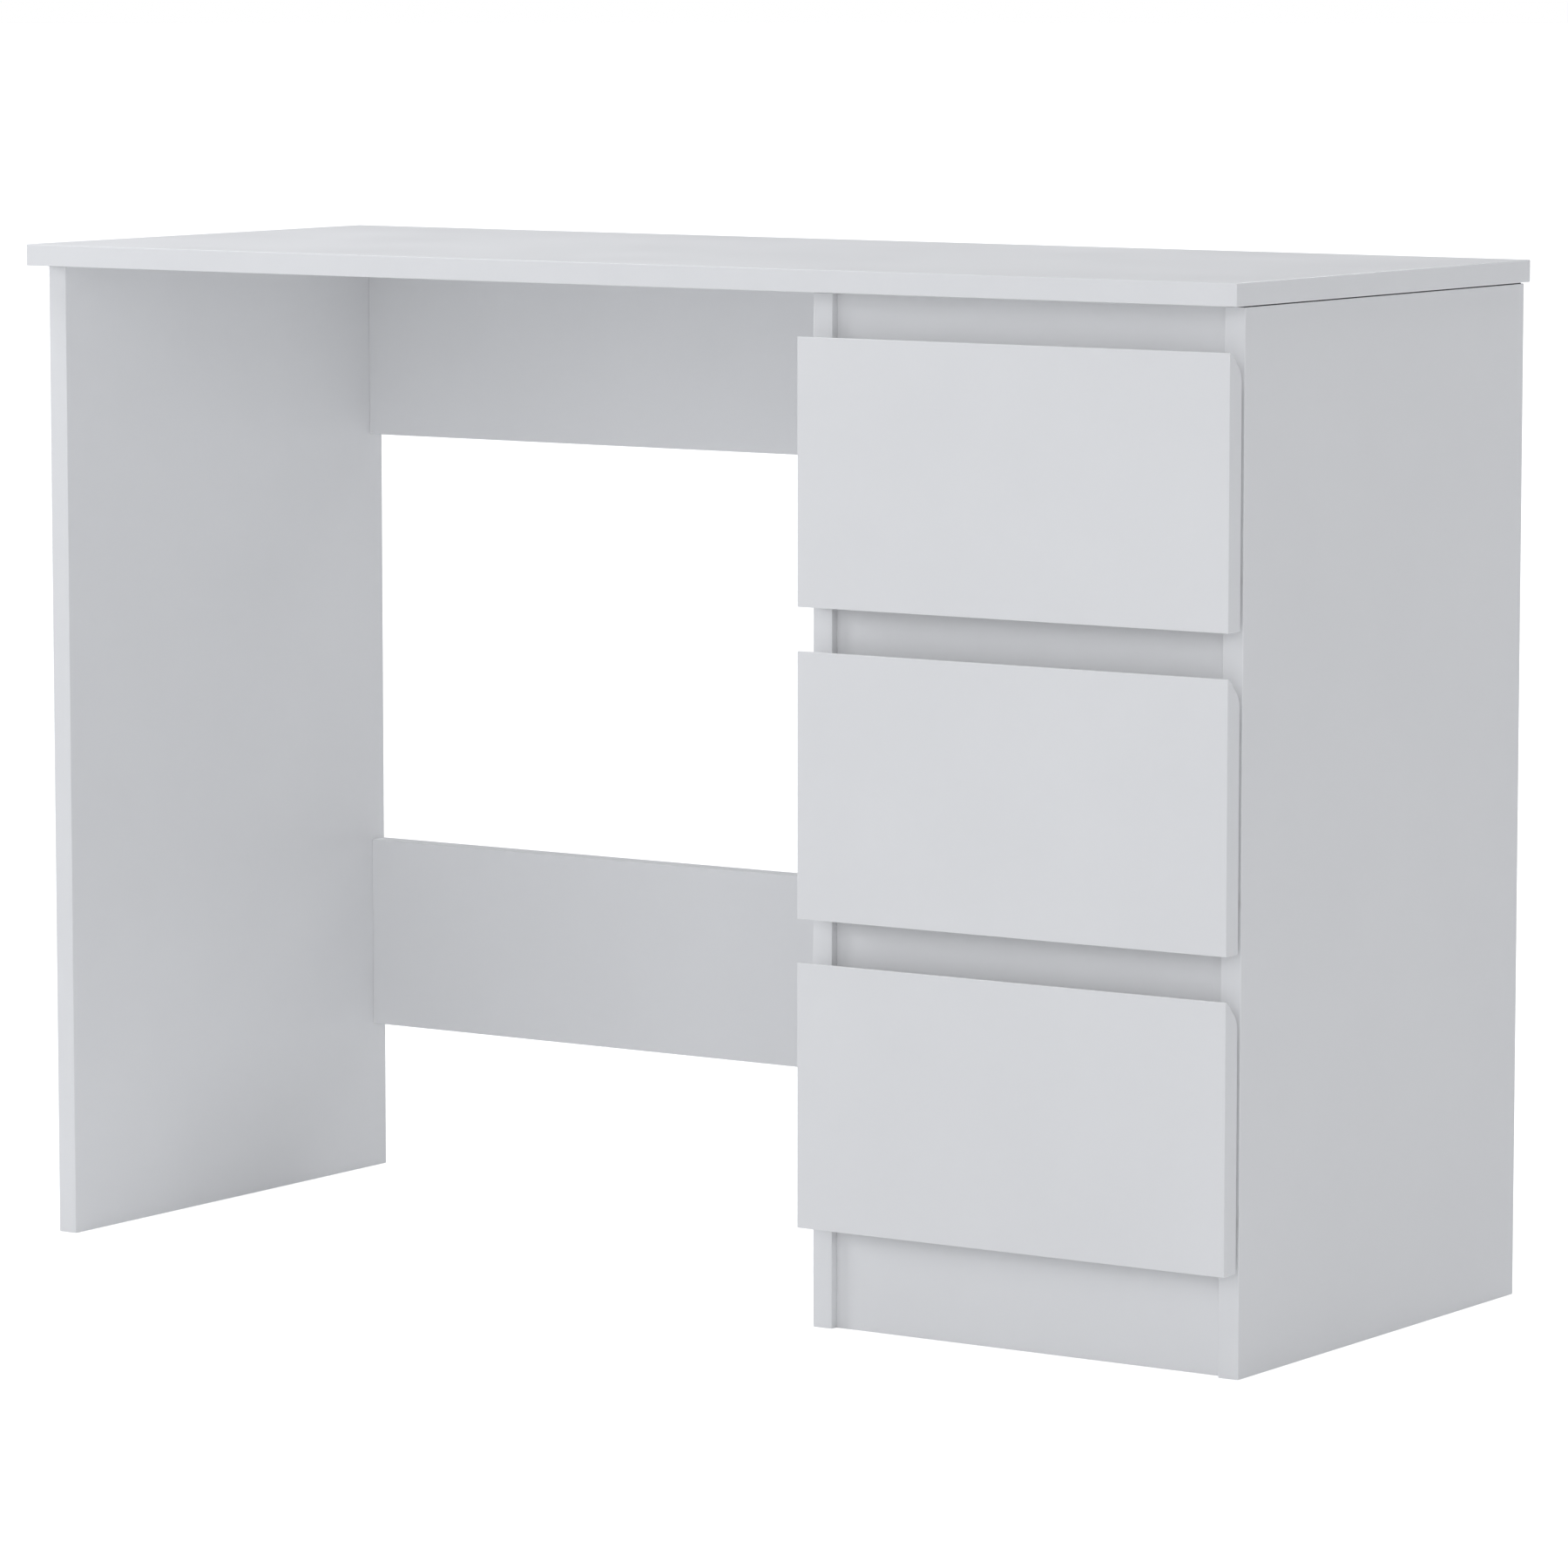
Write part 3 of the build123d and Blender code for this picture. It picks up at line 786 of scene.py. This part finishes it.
def island_boxes(node):
    """The lowest and highest corner of each separate solid in a node, in the same order on each run."""
    shape = bmesh.new()
    shape.from_mesh(frame["nodes"][node].data)
    bmesh.ops.remove_doubles(shape, verts=shape.verts, dist=LEVEL_PLAY)
    left = set(shape.verts)
    boxes = []
    while left:
        first = left.pop()
        island, edge_of_search = {first}, [first]
        while edge_of_search:
            vert = edge_of_search.pop()
            for edge in vert.link_edges:
                other = edge.other_vert(vert)
                if other not in island:
                    island.add(other)
                    edge_of_search.append(other)
        left -= island
        low = Vector([min(vert.co[axis] for vert in island) for axis in (X, Y, Z)])
        high = Vector([max(vert.co[axis] for vert in island) for axis in (X, Y, Z)])
        boxes.append((low, high))
    shape.free()
    return sorted(boxes, key=lambda box: tuple(box[0]))


CAMS = [
    (BODY_OF[node], box)
    for node in sorted(frame["nodes"])
    if node.endswith("cam_housings")
    for box in island_boxes(node)
]


def cams_in(node):
    """The cams that lie in a board."""
    low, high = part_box(node)
    found = []
    for body, box in CAMS:
        centre = (box[0] + box[1]) / 2
        if body == BODY_OF[node] and all(low[axis] < centre[axis] < high[axis] for axis in (X, Y, Z)):
            found.append(box)
    return found


def pocket_of(node, cam_low, cam_high):
    """Where the pocket of a cam opens, and its size: axis, level, centre, radius, depth."""
    low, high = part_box(node)
    axis = thin_axis(cam_low, cam_high)
    across = (axis + 1) % 3
    at_high = abs(cam_high[axis] - high[axis]) < abs(cam_low[axis] - low[axis])
    radius = (cam_high[across] - cam_low[across]) / 2 + POCKET_PLAY
    depth = cam_high[axis] - cam_low[axis] + POCKET_EXTRA
    return axis, (high if at_high else low)[axis], (cam_low + cam_high) / 2, radius, depth


def drill_for_cams(shape, node):
    """Divides the sides for all the pockets first, so that no cut runs through a finished one."""
    low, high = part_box(node)
    pockets = [pocket_of(node, *cam) for cam in cams_in(node)]
    for axis, level, centre, radius, _ in pockets:
        for side, limits in pocket_limits(axis, centre, radius).items():
            divide_side(shape, axis, level, side, limits)
    for pocket in pockets:
        open_pocket(shape, (low + high) / 2, *pocket)
    return len(pockets)


print("found", len(CAMS), "cams")

# %% [markdown]
# ## The carcass
#
# The top is banded all round, with rounded corners. The three panels stand on bare lower edges, and the
# top sits on their upper ones. A small neck at the upper end of each panel leaves the thin dark
# line that shows under the top, and the neck is painted dark grey as painted shade that darkens this line.
# The rails and the plinth are cut square where they meet a panel, and their small end radius leaves a
# hairline at the joint.

# %% Carcass boards
UP, DOWN = Vector((0, 0, 1)), Vector((0, 0, -1))
RIGHTWARDS, LEFTWARDS = Vector((1, 0, 0)), Vector((-1, 0, 0))
SHADOW_GAP = 1.2 * MM
NECK_INSET = 3.0 * MM
# node: (axis along the rounded edges, radius round its two ends, height of its neck, bare directions)
PANEL = (Z, CUT_RADIUS, SHADOW_GAP, (UP, DOWN))
RAIL = (X, CUT_RADIUS, 0, (LEFTWARDS, RIGHTWARDS))
CARCASS = {
    "desk_top": (Z, BAND_RADIUS, 0, ()),
    "left_side_panel": PANEL,
    "middle_panel": PANEL,
    "right_side_panel": PANEL,
    "upper_back_rail": RAIL,
    "lower_back_rail": RAIL,
    "plinth": RAIL,
    "rear_base_rail": (X, CUT_RADIUS, 0, (LEFTWARDS, RIGHTWARDS, DOWN)),
    "lower_front_rail": RAIL,
    "upper_front_rail": RAIL,
    "top_front_rail": RAIL,
}
GROOVE_PLAY = 0.2 * MM
GROOVE_DEPTH = 4.0 * MM


def add_neck(shape, axis, height):
    """Steps the high end of a board in, and carries it on to its full length."""
    end = [face for face in shape.faces if face.normal[axis] > FLAT]
    bmesh.ops.inset_region(shape, faces=end, thickness=NECK_INSET, use_even_offset=True)
    made = bmesh.ops.extrude_discrete_faces(shape, faces=end)["faces"]
    corners = [vert for face in made for vert in face.verts]
    bmesh.ops.translate(shape, vec=AXES[axis] * height, verts=corners)
    shape.normal_update()


def board(node, along, end_radius, neck, raw):
    """A blank with rounded edges, painted by direction."""
    low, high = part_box(node)
    shape = slab(low, high - AXES[along] * neck)
    round_over(shape, edges_along(shape, along), BAND_RADIUS)
    for way in (-1, 1):
        round_over(shape, end_outline(shape, along, way), end_radius, BAND_STEPS // 2)
    if neck:
        add_neck(shape, along, neck)
    paint_board(shape, thin_axis(low, high), raw)
    # the neck and the end above it take the dark grey flakes: painted shade for the line under the top
    for face in shape.faces:
        if neck and face.calc_center_median()[along] > high[along] - neck - CUT_RADIUS / 4:
            face.material_index = PAINTED_SHADE
    return shape


def back_panel_groove(shape, node):
    """The groove that the cabinet's thin back slides in, on a panel or on the rear base rail."""
    low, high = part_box(node)
    back_low, back_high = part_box("cabinet_back_panel")
    limits = (back_low.y - GROOVE_PLAY, back_high.y + GROOVE_PLAY)
    if node == "rear_base_rail":
        axis, level = Z, high.z
    else:
        axis = X
        level = high.x if node == "middle_panel" else low.x
    cut_groove(shape, (low + high) / 2, axis, level, Y, limits, GROOVE_DEPTH)


for node, recipe in CARCASS.items():
    shape = board(node, *recipe)
    if node in ("middle_panel", "right_side_panel", "rear_base_rail"):
        back_panel_groove(shape, node)
    pockets = drill_for_cams(shape, node)
    finish_piece(node + "_board", shape, BOARD_FINISHES, [node])
    print(node, "with", pockets, "pockets")

# %% [markdown]
# ## Thin board
#
# The cabinet's back and the drawer bottoms are 3 mm hardboard, lacquered white. They only need a broken
# edge, because a saw leaves them square and a wipe of sandpaper takes off the fibres.

# %% Thin boards
SANDED_EDGE = 0.25 * MM

for node in sorted(frame["nodes"]):
    if SLOT_OF[node] == "hardboard":
        shape = slab(*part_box(node))
        round_over(shape, list(shape.edges), SANDED_EDGE, 1)
        finish_piece(node + "_sheet", shape, (HARDBOARD,), [node])

# %% [markdown]
# ## Drawers
#
# The fronts have no handle. Fingers reach over the top edge, which slopes down behind a narrow land and
# runs into the back in a soft curve. That is one plane cut and one wide bevel: the plane takes the corner
# off the blank, and the bevel rounds only the edge where the slope meets the back.

# %% Drawer fronts
GRIP_LAND = 2.0 * MM
GRIP_RADIUS = 6.0 * MM
GRIP_STEPS = 10
LAND_RADIUS = 0.4 * MM
EDGE_PLAY = 0.1 * MM


def slope_edge(shape, low, high):
    """The edge where the finger slope meets the back of a front."""
    level = high.z - (high.y - low.y - GRIP_LAND)
    return [
        edge
        for edge in edges_along(shape, X)
        if all(max(abs(vert.co.z - level), abs(vert.co.y - high.y)) < EDGE_PLAY for vert in edge.verts)
    ]


def drawer_front(node):
    low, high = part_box(node)
    shape = slab(low, high)
    cut = bmesh.ops.bisect_plane(
        shape,
        geom=[*shape.verts, *shape.edges, *shape.faces],
        dist=MERGE_GAP,
        plane_co=Vector((0, low.y + GRIP_LAND, high.z)),
        plane_no=Vector((0, 1, 1)).normalized(),
        clear_outer=True,
    )
    rim = [item for item in cut["geom_cut"] if isinstance(item, bmesh.types.BMEdge)]
    bmesh.ops.edgeloop_fill(shape, edges=rim)
    bmesh.ops.recalc_face_normals(shape, faces=shape.faces)
    shape.normal_update()
    soft = slope_edge(shape, low, high)
    round_over(shape, soft, GRIP_RADIUS, GRIP_STEPS)
    sharp = [edge for edge in edges_along(shape, X) if edge.calc_face_angle(0) > SHARP]
    round_over(shape, sharp, LAND_RADIUS, BAND_STEPS)
    for way in (-1, 1):
        round_over(shape, end_outline(shape, X, way), LAND_RADIUS, BAND_STEPS)
    paint_board(shape, Y, ())
    # the curve's strips are as narrow as a rounding with the painted highlight, but they are part of the
    # slope
    for face in shape.faces:
        if face.normal.y > LEANING and face.normal.z > LEANING:
            face.material_index = BANDED
    return shape


def bottom_groove(shape, node, drawer, axis, level):
    """The groove for the drawer's bottom, along one flat side."""
    bottom_low, bottom_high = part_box(drawer + "_bottom")
    low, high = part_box(node)
    limits = (bottom_low.z - GROOVE_PLAY, bottom_high.z + GROOVE_PLAY)
    cut_groove(shape, (low + high) / 2, axis, level, Z, limits, GROOVE_DEPTH)


for number in (1, 2, 3):
    drawer = f"drawer_{number}"
    node = drawer + "_front"
    shape = drawer_front(node)
    bottom_groove(shape, node, drawer, Y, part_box(node)[1].y)
    finish_piece(node + "_board", shape, BOARD_FINISHES, [node])

# %% [markdown]
# The box behind each front is two sides and a back, all from the same board. They are banded along the
# top and cut bare below, where the steel rails wrap round them.

# %% Drawer boxes
FORWARDS = Vector((0, -1, 0))
# piece: (axis of the rounded edges, bare directions, axis that its inner side faces, is it the high side)
BOX_BOARDS = {
    "left_side": (Y, (FORWARDS, DOWN), X, True),
    "right_side": (Y, (FORWARDS, DOWN), X, False),
    "back": (X, (LEFTWARDS, RIGHTWARDS, DOWN), Y, False),
}

for number in (1, 2, 3):
    drawer = f"drawer_{number}"
    for piece, (along, raw, facing, inner_is_high) in BOX_BOARDS.items():
        node = f"{drawer}_{piece}"
        shape = board(node, along, CUT_RADIUS, 0, raw)
        low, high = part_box(node)
        bottom_groove(shape, node, drawer, facing, high[facing] if inner_is_high else low[facing])
        pockets = drill_for_cams(shape, node)
        finish_piece(node + "_board", shape, BOARD_FINISHES, [node])
        print(node, "with", pockets, "pockets")

# %% [markdown]
# ## Steel runners
#
# A runner is one strip of 1.2 mm steel, folded into a channel, and a drawer's rail is another, folded into
# a Z. The way it is made is also the easiest way to model it: draw the section down the middle of the
# sheet, pull it out to a strip, round the folds with a bevel, and let a Solidify modifier give it the
# thickness. Even thickness keeps the flanges as thick as the web round the folds.

# %% Folded sheet
STEEL = 1.2 * MM
FOLD_RADIUS = 1.5 * MM
FOLD_STEPS = 5
SNIPPED_CORNER = 3.0 * MM
SNIP_STEPS = 3


def draw_line(shape, points):
    """A chain of edges through points."""
    tip = bmesh.ops.create_vert(shape, co=points[0])["vert"][0]
    for start, end in zip(points, points[1:]):
        tip = bmesh.ops.extrude_vert_indiv(shape, verts=[tip])["verts"][0]
        tip.co = end
    bmesh.ops.remove_doubles(shape, verts=shape.verts, dist=MERGE_GAP)


def folded_sheet(points, run):
    """A strip with rounded folds and snipped corners, from its middle line and the way it runs."""
    shape = bmesh.new()
    draw_line(shape, points)
    made = bmesh.ops.extrude_edge_only(shape, edges=shape.edges)["geom"]
    moved = [item for item in made if isinstance(item, bmesh.types.BMVert)]
    bmesh.ops.translate(shape, vec=run, verts=moved)
    corners = [vert for vert in shape.verts if len(vert.link_edges) == 2]
    bmesh.ops.bevel(
        shape,
        geom=corners,
        offset=SNIPPED_CORNER,
        offset_type="OFFSET",
        affect="VERTICES",
        segments=SNIP_STEPS,
        profile=0.5,
        material=-1,
    )
    folds = [edge for edge in shape.edges if len(edge.link_faces) == 2]
    round_over(shape, folds, FOLD_RADIUS, FOLD_STEPS)
    return shape


def give_thickness(piece):
    thickness = piece.modifiers.new("sheet_thickness", "SOLIDIFY")
    thickness.thickness = STEEL
    thickness.offset = 0
    thickness.use_even_offset = True


# %% [markdown]
# The axles are riveted in. A turned part like that is a profile spun round its axis. The helper below
# takes the profile as distances along the axis and out from it, and is used again for the rollers and
# the screws.

# %% Turned parts
TURN_STEPS = 32


def turned(profile, place, direction, steps=TURN_STEPS, closed=False):
    """A profile of (along, out) pairs, spun round a line through place in a direction along X."""
    shape = bmesh.new()
    points = [place + Vector((direction * along, 0, out)) for along, out in profile]
    if closed:
        points.append(points[0])
    draw_line(shape, points)
    bmesh.ops.spin(
        shape,
        geom=[*shape.verts, *shape.edges],
        cent=place,
        axis=AXES[X],
        angle=2 * math.pi,
        steps=steps,
        use_merge=True,
        use_duplicate=False,
    )
    bmesh.ops.remove_doubles(shape, verts=shape.verts, dist=MERGE_GAP)
    bmesh.ops.recalc_face_normals(shape, faces=shape.faces)
    return shape


def add_to(shape, other):
    """Adds a second shape to the first one."""
    spare = bpy.data.meshes.new("spare")
    other.to_mesh(spare)
    other.free()
    shape.from_mesh(spare)
    bpy.data.meshes.remove(spare)
    return shape


AXLE_RADIUS = 2.5 * MM
AXLE_HEAD_RADIUS = 3.5 * MM
AXLE_HEAD = 0.7 * MM
AXLE_ROUND = 0.3 * MM


def rivet(place, direction, length):
    """An axle from its seat in the sheet to a domed head, which keeps the roller on."""
    profile = [
        (0, 0),
        (0, AXLE_RADIUS),
        (length, AXLE_RADIUS),
        (length, AXLE_HEAD_RADIUS - AXLE_ROUND),
        (length + AXLE_HEAD / 2, AXLE_HEAD_RADIUS),
        (length + AXLE_HEAD * 0.8, AXLE_HEAD_RADIUS * 0.7),
        (length + AXLE_HEAD, 0),
    ]
    return turned(profile, place, direction)


# %% [markdown]
# Runner and rail are mirror images on the two walls of the cabinet. Instead of mirroring, the section is
# drawn in distances from the wall, and a sign says which way the cabinet's inside lies.

# %% Runners and rails
ROLLER_INSET = 14.0 * MM
RUNNER_REACH = 9.5 * MM  # from the wall to the edge of a runner's flanges
RAIL_TOP_START = 3.0 * MM  # from the wall to the edge of a rail's upper flange
RAIL_LIP_END = 22.5 * MM  # from the wall to the edge of the lip under a drawer's side
CABINET_ROLLER_FAR = 8.9 * MM  # where the head of a cabinet runner's axle starts
CABINET_ROLLER_RISE = 10.8 * MM
DRAWER_ROLLER_NEAR = 3.5 * MM  # where the head of a drawer rail's axle starts
DRAWER_ROLLER_RISE = 10.5 * MM
LIP_ABOVE_RUNNER = 2.8 * MM
DRAWER_SPACE = 12.5 * MM  # from a wall to the drawer box


def section(wall, inwards, y, heights):
    """Points from (distance from the wall, height) pairs."""
    return [Vector((wall + inwards * away, y, z)) for away, z in heights]


def runner(node, inwards):
    """A channel that lies open towards the drawer, with the axle of its front roller."""
    low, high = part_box(node)
    wall = low.x if inwards > 0 else high.x
    half = STEEL / 2
    floor, roof = low.z + half, high.z - half
    heights = [(RUNNER_REACH, floor), (half, floor), (half, roof), (RUNNER_REACH, roof)]
    line = section(wall, inwards, low.y, heights)
    sheet = folded_sheet(line, Vector((0, high.y - low.y, 0)))
    seat = Vector((wall + inwards * half, low.y + ROLLER_INSET, low.z + CABINET_ROLLER_RISE))
    return sheet, rivet(seat, inwards, CABINET_ROLLER_FAR - half)


def rail(node, inwards):
    """A Z that holds the lower edge of a drawer's side, with the axle of its rear roller."""
    low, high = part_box(node)
    wall = high.x - RAIL_LIP_END if inwards > 0 else low.x + RAIL_LIP_END
    half = STEEL / 2
    web = DRAWER_SPACE - half
    lip, roof = low.z + half, high.z - half
    heights = [(RAIL_TOP_START, roof), (web, roof), (web, lip), (RAIL_LIP_END, lip)]
    line = section(wall, inwards, low.y, heights)
    sheet = folded_sheet(line, Vector((0, high.y - low.y, 0)))
    rise = low.z - LIP_ABOVE_RUNNER + DRAWER_ROLLER_RISE
    seat = Vector((wall + inwards * web, high.y - ROLLER_INSET, rise))
    return sheet, rivet(seat, -inwards, web - DRAWER_ROLLER_NEAR)


SIDES = {"left": 1, "right": -1}
for number in (1, 2, 3):
    for side, inwards in SIDES.items():
        for node, build in ((f"runner_{number}_{side}", runner), (f"drawer_{number}_{side}_rail", rail)):
            sheet, axle = build(node, inwards)
            strip = finish_piece(node + "_sheet", sheet, (POWDER_COAT,), [node])
            give_thickness(strip)
            finish_piece(node + "_axle", axle, (PLATED_STEEL,), [node])
print("folded", 2 * 3 * len(SIDES), "strips")

# %% [markdown]
# ## Rollers
#
# A moulded nylon roller has a broken rim, so that it can't catch on a fold, and a shallow recess between
# its hub and its tread, which saves material and keeps the walls even while the plastic cools.

# %% Rollers
ROLLER_RADIUS = 9.0 * MM
ROLLER_BORE = 2.55 * MM
ROLLER_CHAMFER = 0.5 * MM
HUB_RADIUS = 4.2 * MM
TREAD_RADIUS = 7.6 * MM
RECESS = 0.9 * MM
RECESS_DRAFT = 0.3 * MM


def roller_profile(width):
    """The outline of a roller, from one side of its bore round the tread to the other."""
    half = [
        (0, ROLLER_BORE),
        (0, HUB_RADIUS),
        (RECESS, HUB_RADIUS + RECESS_DRAFT),
        (RECESS, TREAD_RADIUS - RECESS_DRAFT),
        (0, TREAD_RADIUS),
        (0, ROLLER_RADIUS - ROLLER_CHAMFER),
        (ROLLER_CHAMFER, ROLLER_RADIUS),
    ]
    return half + [(width - along, out) for along, out in reversed(half)]


for node in sorted(frame["nodes"]):
    if SLOT_OF[node] == "roller_nylon":
        pair = bmesh.new()
        for low, high in island_boxes(node):
            middle = (low + high) / 2
            centre = Vector((low.x, middle.y, middle.z))
            add_to(pair, turned(roller_profile(high.x - low.x), centre, 1, closed=True))
        finish_piece(node + "_pair", pair, (NYLON,), [node])
print("rollers have a radius of", ROLLER_RADIUS / MM, "mm")

# %% [markdown]
# ## Screws
#
# The runners are held by pan-head screws. The cross recess comes from the head's flat top: the face is
# inset once, its corners are pulled in to the outline of a cross, and the face is pushed down. How far a
# corner moves depends only on its angle, so the same rule makes all four arms.

# %% Screws
HEAD_RADIUS = 3.5 * MM
HEAD_HEIGHT = 1.2 * MM
SHANK_RADIUS = 1.7 * MM
POINT_LENGTH = 2.5 * MM
CROSS_REACH = 1.75 * MM
CROSS_HALF = 0.36 * MM
CROSS_DEPTH = 0.7 * MM
CROSS_RIM = 0.15 * MM
SCREW_STEPS = 24


def screw_profile(length):
    """A flat-topped dome, a shank and a point."""
    return [
        (0, CROSS_REACH + 2 * CROSS_RIM),
        (HEAD_HEIGHT * 0.12, HEAD_RADIUS * 0.78),
        (HEAD_HEIGHT * 0.45, HEAD_RADIUS * 0.96),
        (HEAD_HEIGHT * 0.8, HEAD_RADIUS),
        (HEAD_HEIGHT, HEAD_RADIUS * 0.97),
        (HEAD_HEIGHT, SHANK_RADIUS),
        (length - POINT_LENGTH, SHANK_RADIUS),
        (length, 0),
    ]


def cross_radius(angle):
    """How far the outline of the cross lies from its middle at an angle."""
    turn = abs((angle + math.pi / 4) % (math.pi / 2) - math.pi / 4)
    return CROSS_REACH if turn < 0.01 else min(CROSS_REACH, CROSS_HALF / math.sin(turn))


def cut_cross(shape, centre, direction):
    rim = [edge for edge in shape.edges if edge.is_boundary]
    top = bmesh.ops.edgeloop_fill(shape, edges=rim)["faces"]
    bmesh.ops.inset_region(shape, faces=top, thickness=CROSS_RIM, use_even_offset=True)
    for vert in top[0].verts:
        arm = vert.co - centre
        angle = math.atan2(arm.z, arm.y)
        out = cross_radius(angle)
        vert.co = centre + Vector((arm.x, out * math.cos(angle), out * math.sin(angle)))
    sunk = bmesh.ops.extrude_face_region(shape, geom=top)["geom"]
    floor = [item for item in sunk if isinstance(item, bmesh.types.BMVert)]
    bmesh.ops.delete(shape, geom=top, context="FACES_ONLY")
    bmesh.ops.translate(shape, vec=Vector((direction * CROSS_DEPTH, 0, 0)), verts=floor)


def pan_screw(node, low, high):
    """One screw, from the box of its plain shape in the model."""
    middle = (low + high) / 2
    cabinet_middle = (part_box("middle_panel")[0].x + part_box("right_side_panel")[1].x) / 2
    into_left = (middle.x < cabinet_middle) == (node == "runner_screws")
    direction = -1 if into_left else 1
    top = Vector((low.x if direction > 0 else high.x, middle.y, middle.z))
    shape = turned(screw_profile(high.x - low.x), top, direction, SCREW_STEPS)
    cut_cross(shape, top, direction)
    return shape


screw_count = 0
for node in sorted(frame["nodes"]):
    if node.endswith("screws"):
        set_of_screws = bmesh.new()
        for low, high in island_boxes(node):
            add_to(set_of_screws, pan_screw(node, low, high))
            screw_count += 1
        finish_piece(node + "_set", set_of_screws, (PLATED_STEEL,), [node])
print("turned", screw_count, "screws")

# %% [markdown]
# ## Fasteners that stay as they are
#
# Cams, cam bolts and dowels already have their real shape in the engineering model, with the slot and the
# cross recess of each cam. They keep their meshes and only get a finish.

# %% Finish the fasteners
KEPT = {"cam_zinc": CAST_ZINC, "fastener_steel": PLATED_STEEL, "beech_dowel": BEECH}

for node, thing in frame["nodes"].items():
    finish = KEPT.get(SLOT_OF[node])
    if finish and not node.endswith("screws"):
        thing.data.materials.clear()
        thing.data.materials.append(finish)
        print(node, "is", finish.name)

# %% [markdown]
# ## Floor
#
# The floor only has to be pale and plain, and to take a soft shadow. It is a large disc. The camera sees
# it with a little light of its own, so that it stays as pale as the backdrop behind it, while the desk is
# lit by the floor's plain white alone.

# %% Floor
FLOOR_RADIUS = 60.0
FLOOR_GLOW = 0.62
FLOOR_SIDES = 96
FLOOR_WHITE = (0.88, 0.885, 0.89)


def make_floor():
    shape = bmesh.new()
    bmesh.ops.create_circle(shape, cap_ends=True, segments=FLOOR_SIDES, radius=FLOOR_RADIUS)
    mesh = bpy.data.meshes.new("floor")
    shape.to_mesh(mesh)
    shape.free()
    floor = bpy.data.objects.new("floor", mesh)
    bpy.context.scene.collection.objects.link(floor)
    finish = bpy.data.materials.new("pale_floor")
    finish.use_nodes = True
    tree = finish.node_tree
    tree.nodes.clear()
    paint = add_node(tree, "ShaderNodeBsdfDiffuse", values={"Color": (*FLOOR_WHITE, 1)})
    glow = add_node(tree, "ShaderNodeEmission", values={"Strength": FLOOR_GLOW})
    path = tree.nodes.new("ShaderNodeLightPath")
    dark = add_node(tree, "ShaderNodeEmission", values={"Strength": 0.0})
    seen = tree.nodes.new("ShaderNodeMixShader")
    both = tree.nodes.new("ShaderNodeAddShader")
    output = tree.nodes.new("ShaderNodeOutputMaterial")
    link(tree, path.outputs["Is Camera Ray"], seen.inputs["Fac"])
    link(tree, dark.outputs[0], seen.inputs[1])
    link(tree, glow.outputs[0], seen.inputs[2])
    link(tree, paint.outputs[0], both.inputs[0])
    link(tree, seen.outputs[0], both.inputs[1])
    link(tree, both.outputs[0], output.inputs["Surface"])
    mesh.materials.append(finish)


make_floor()
print("floor is a disc with a radius of", FLOOR_RADIUS, "m")
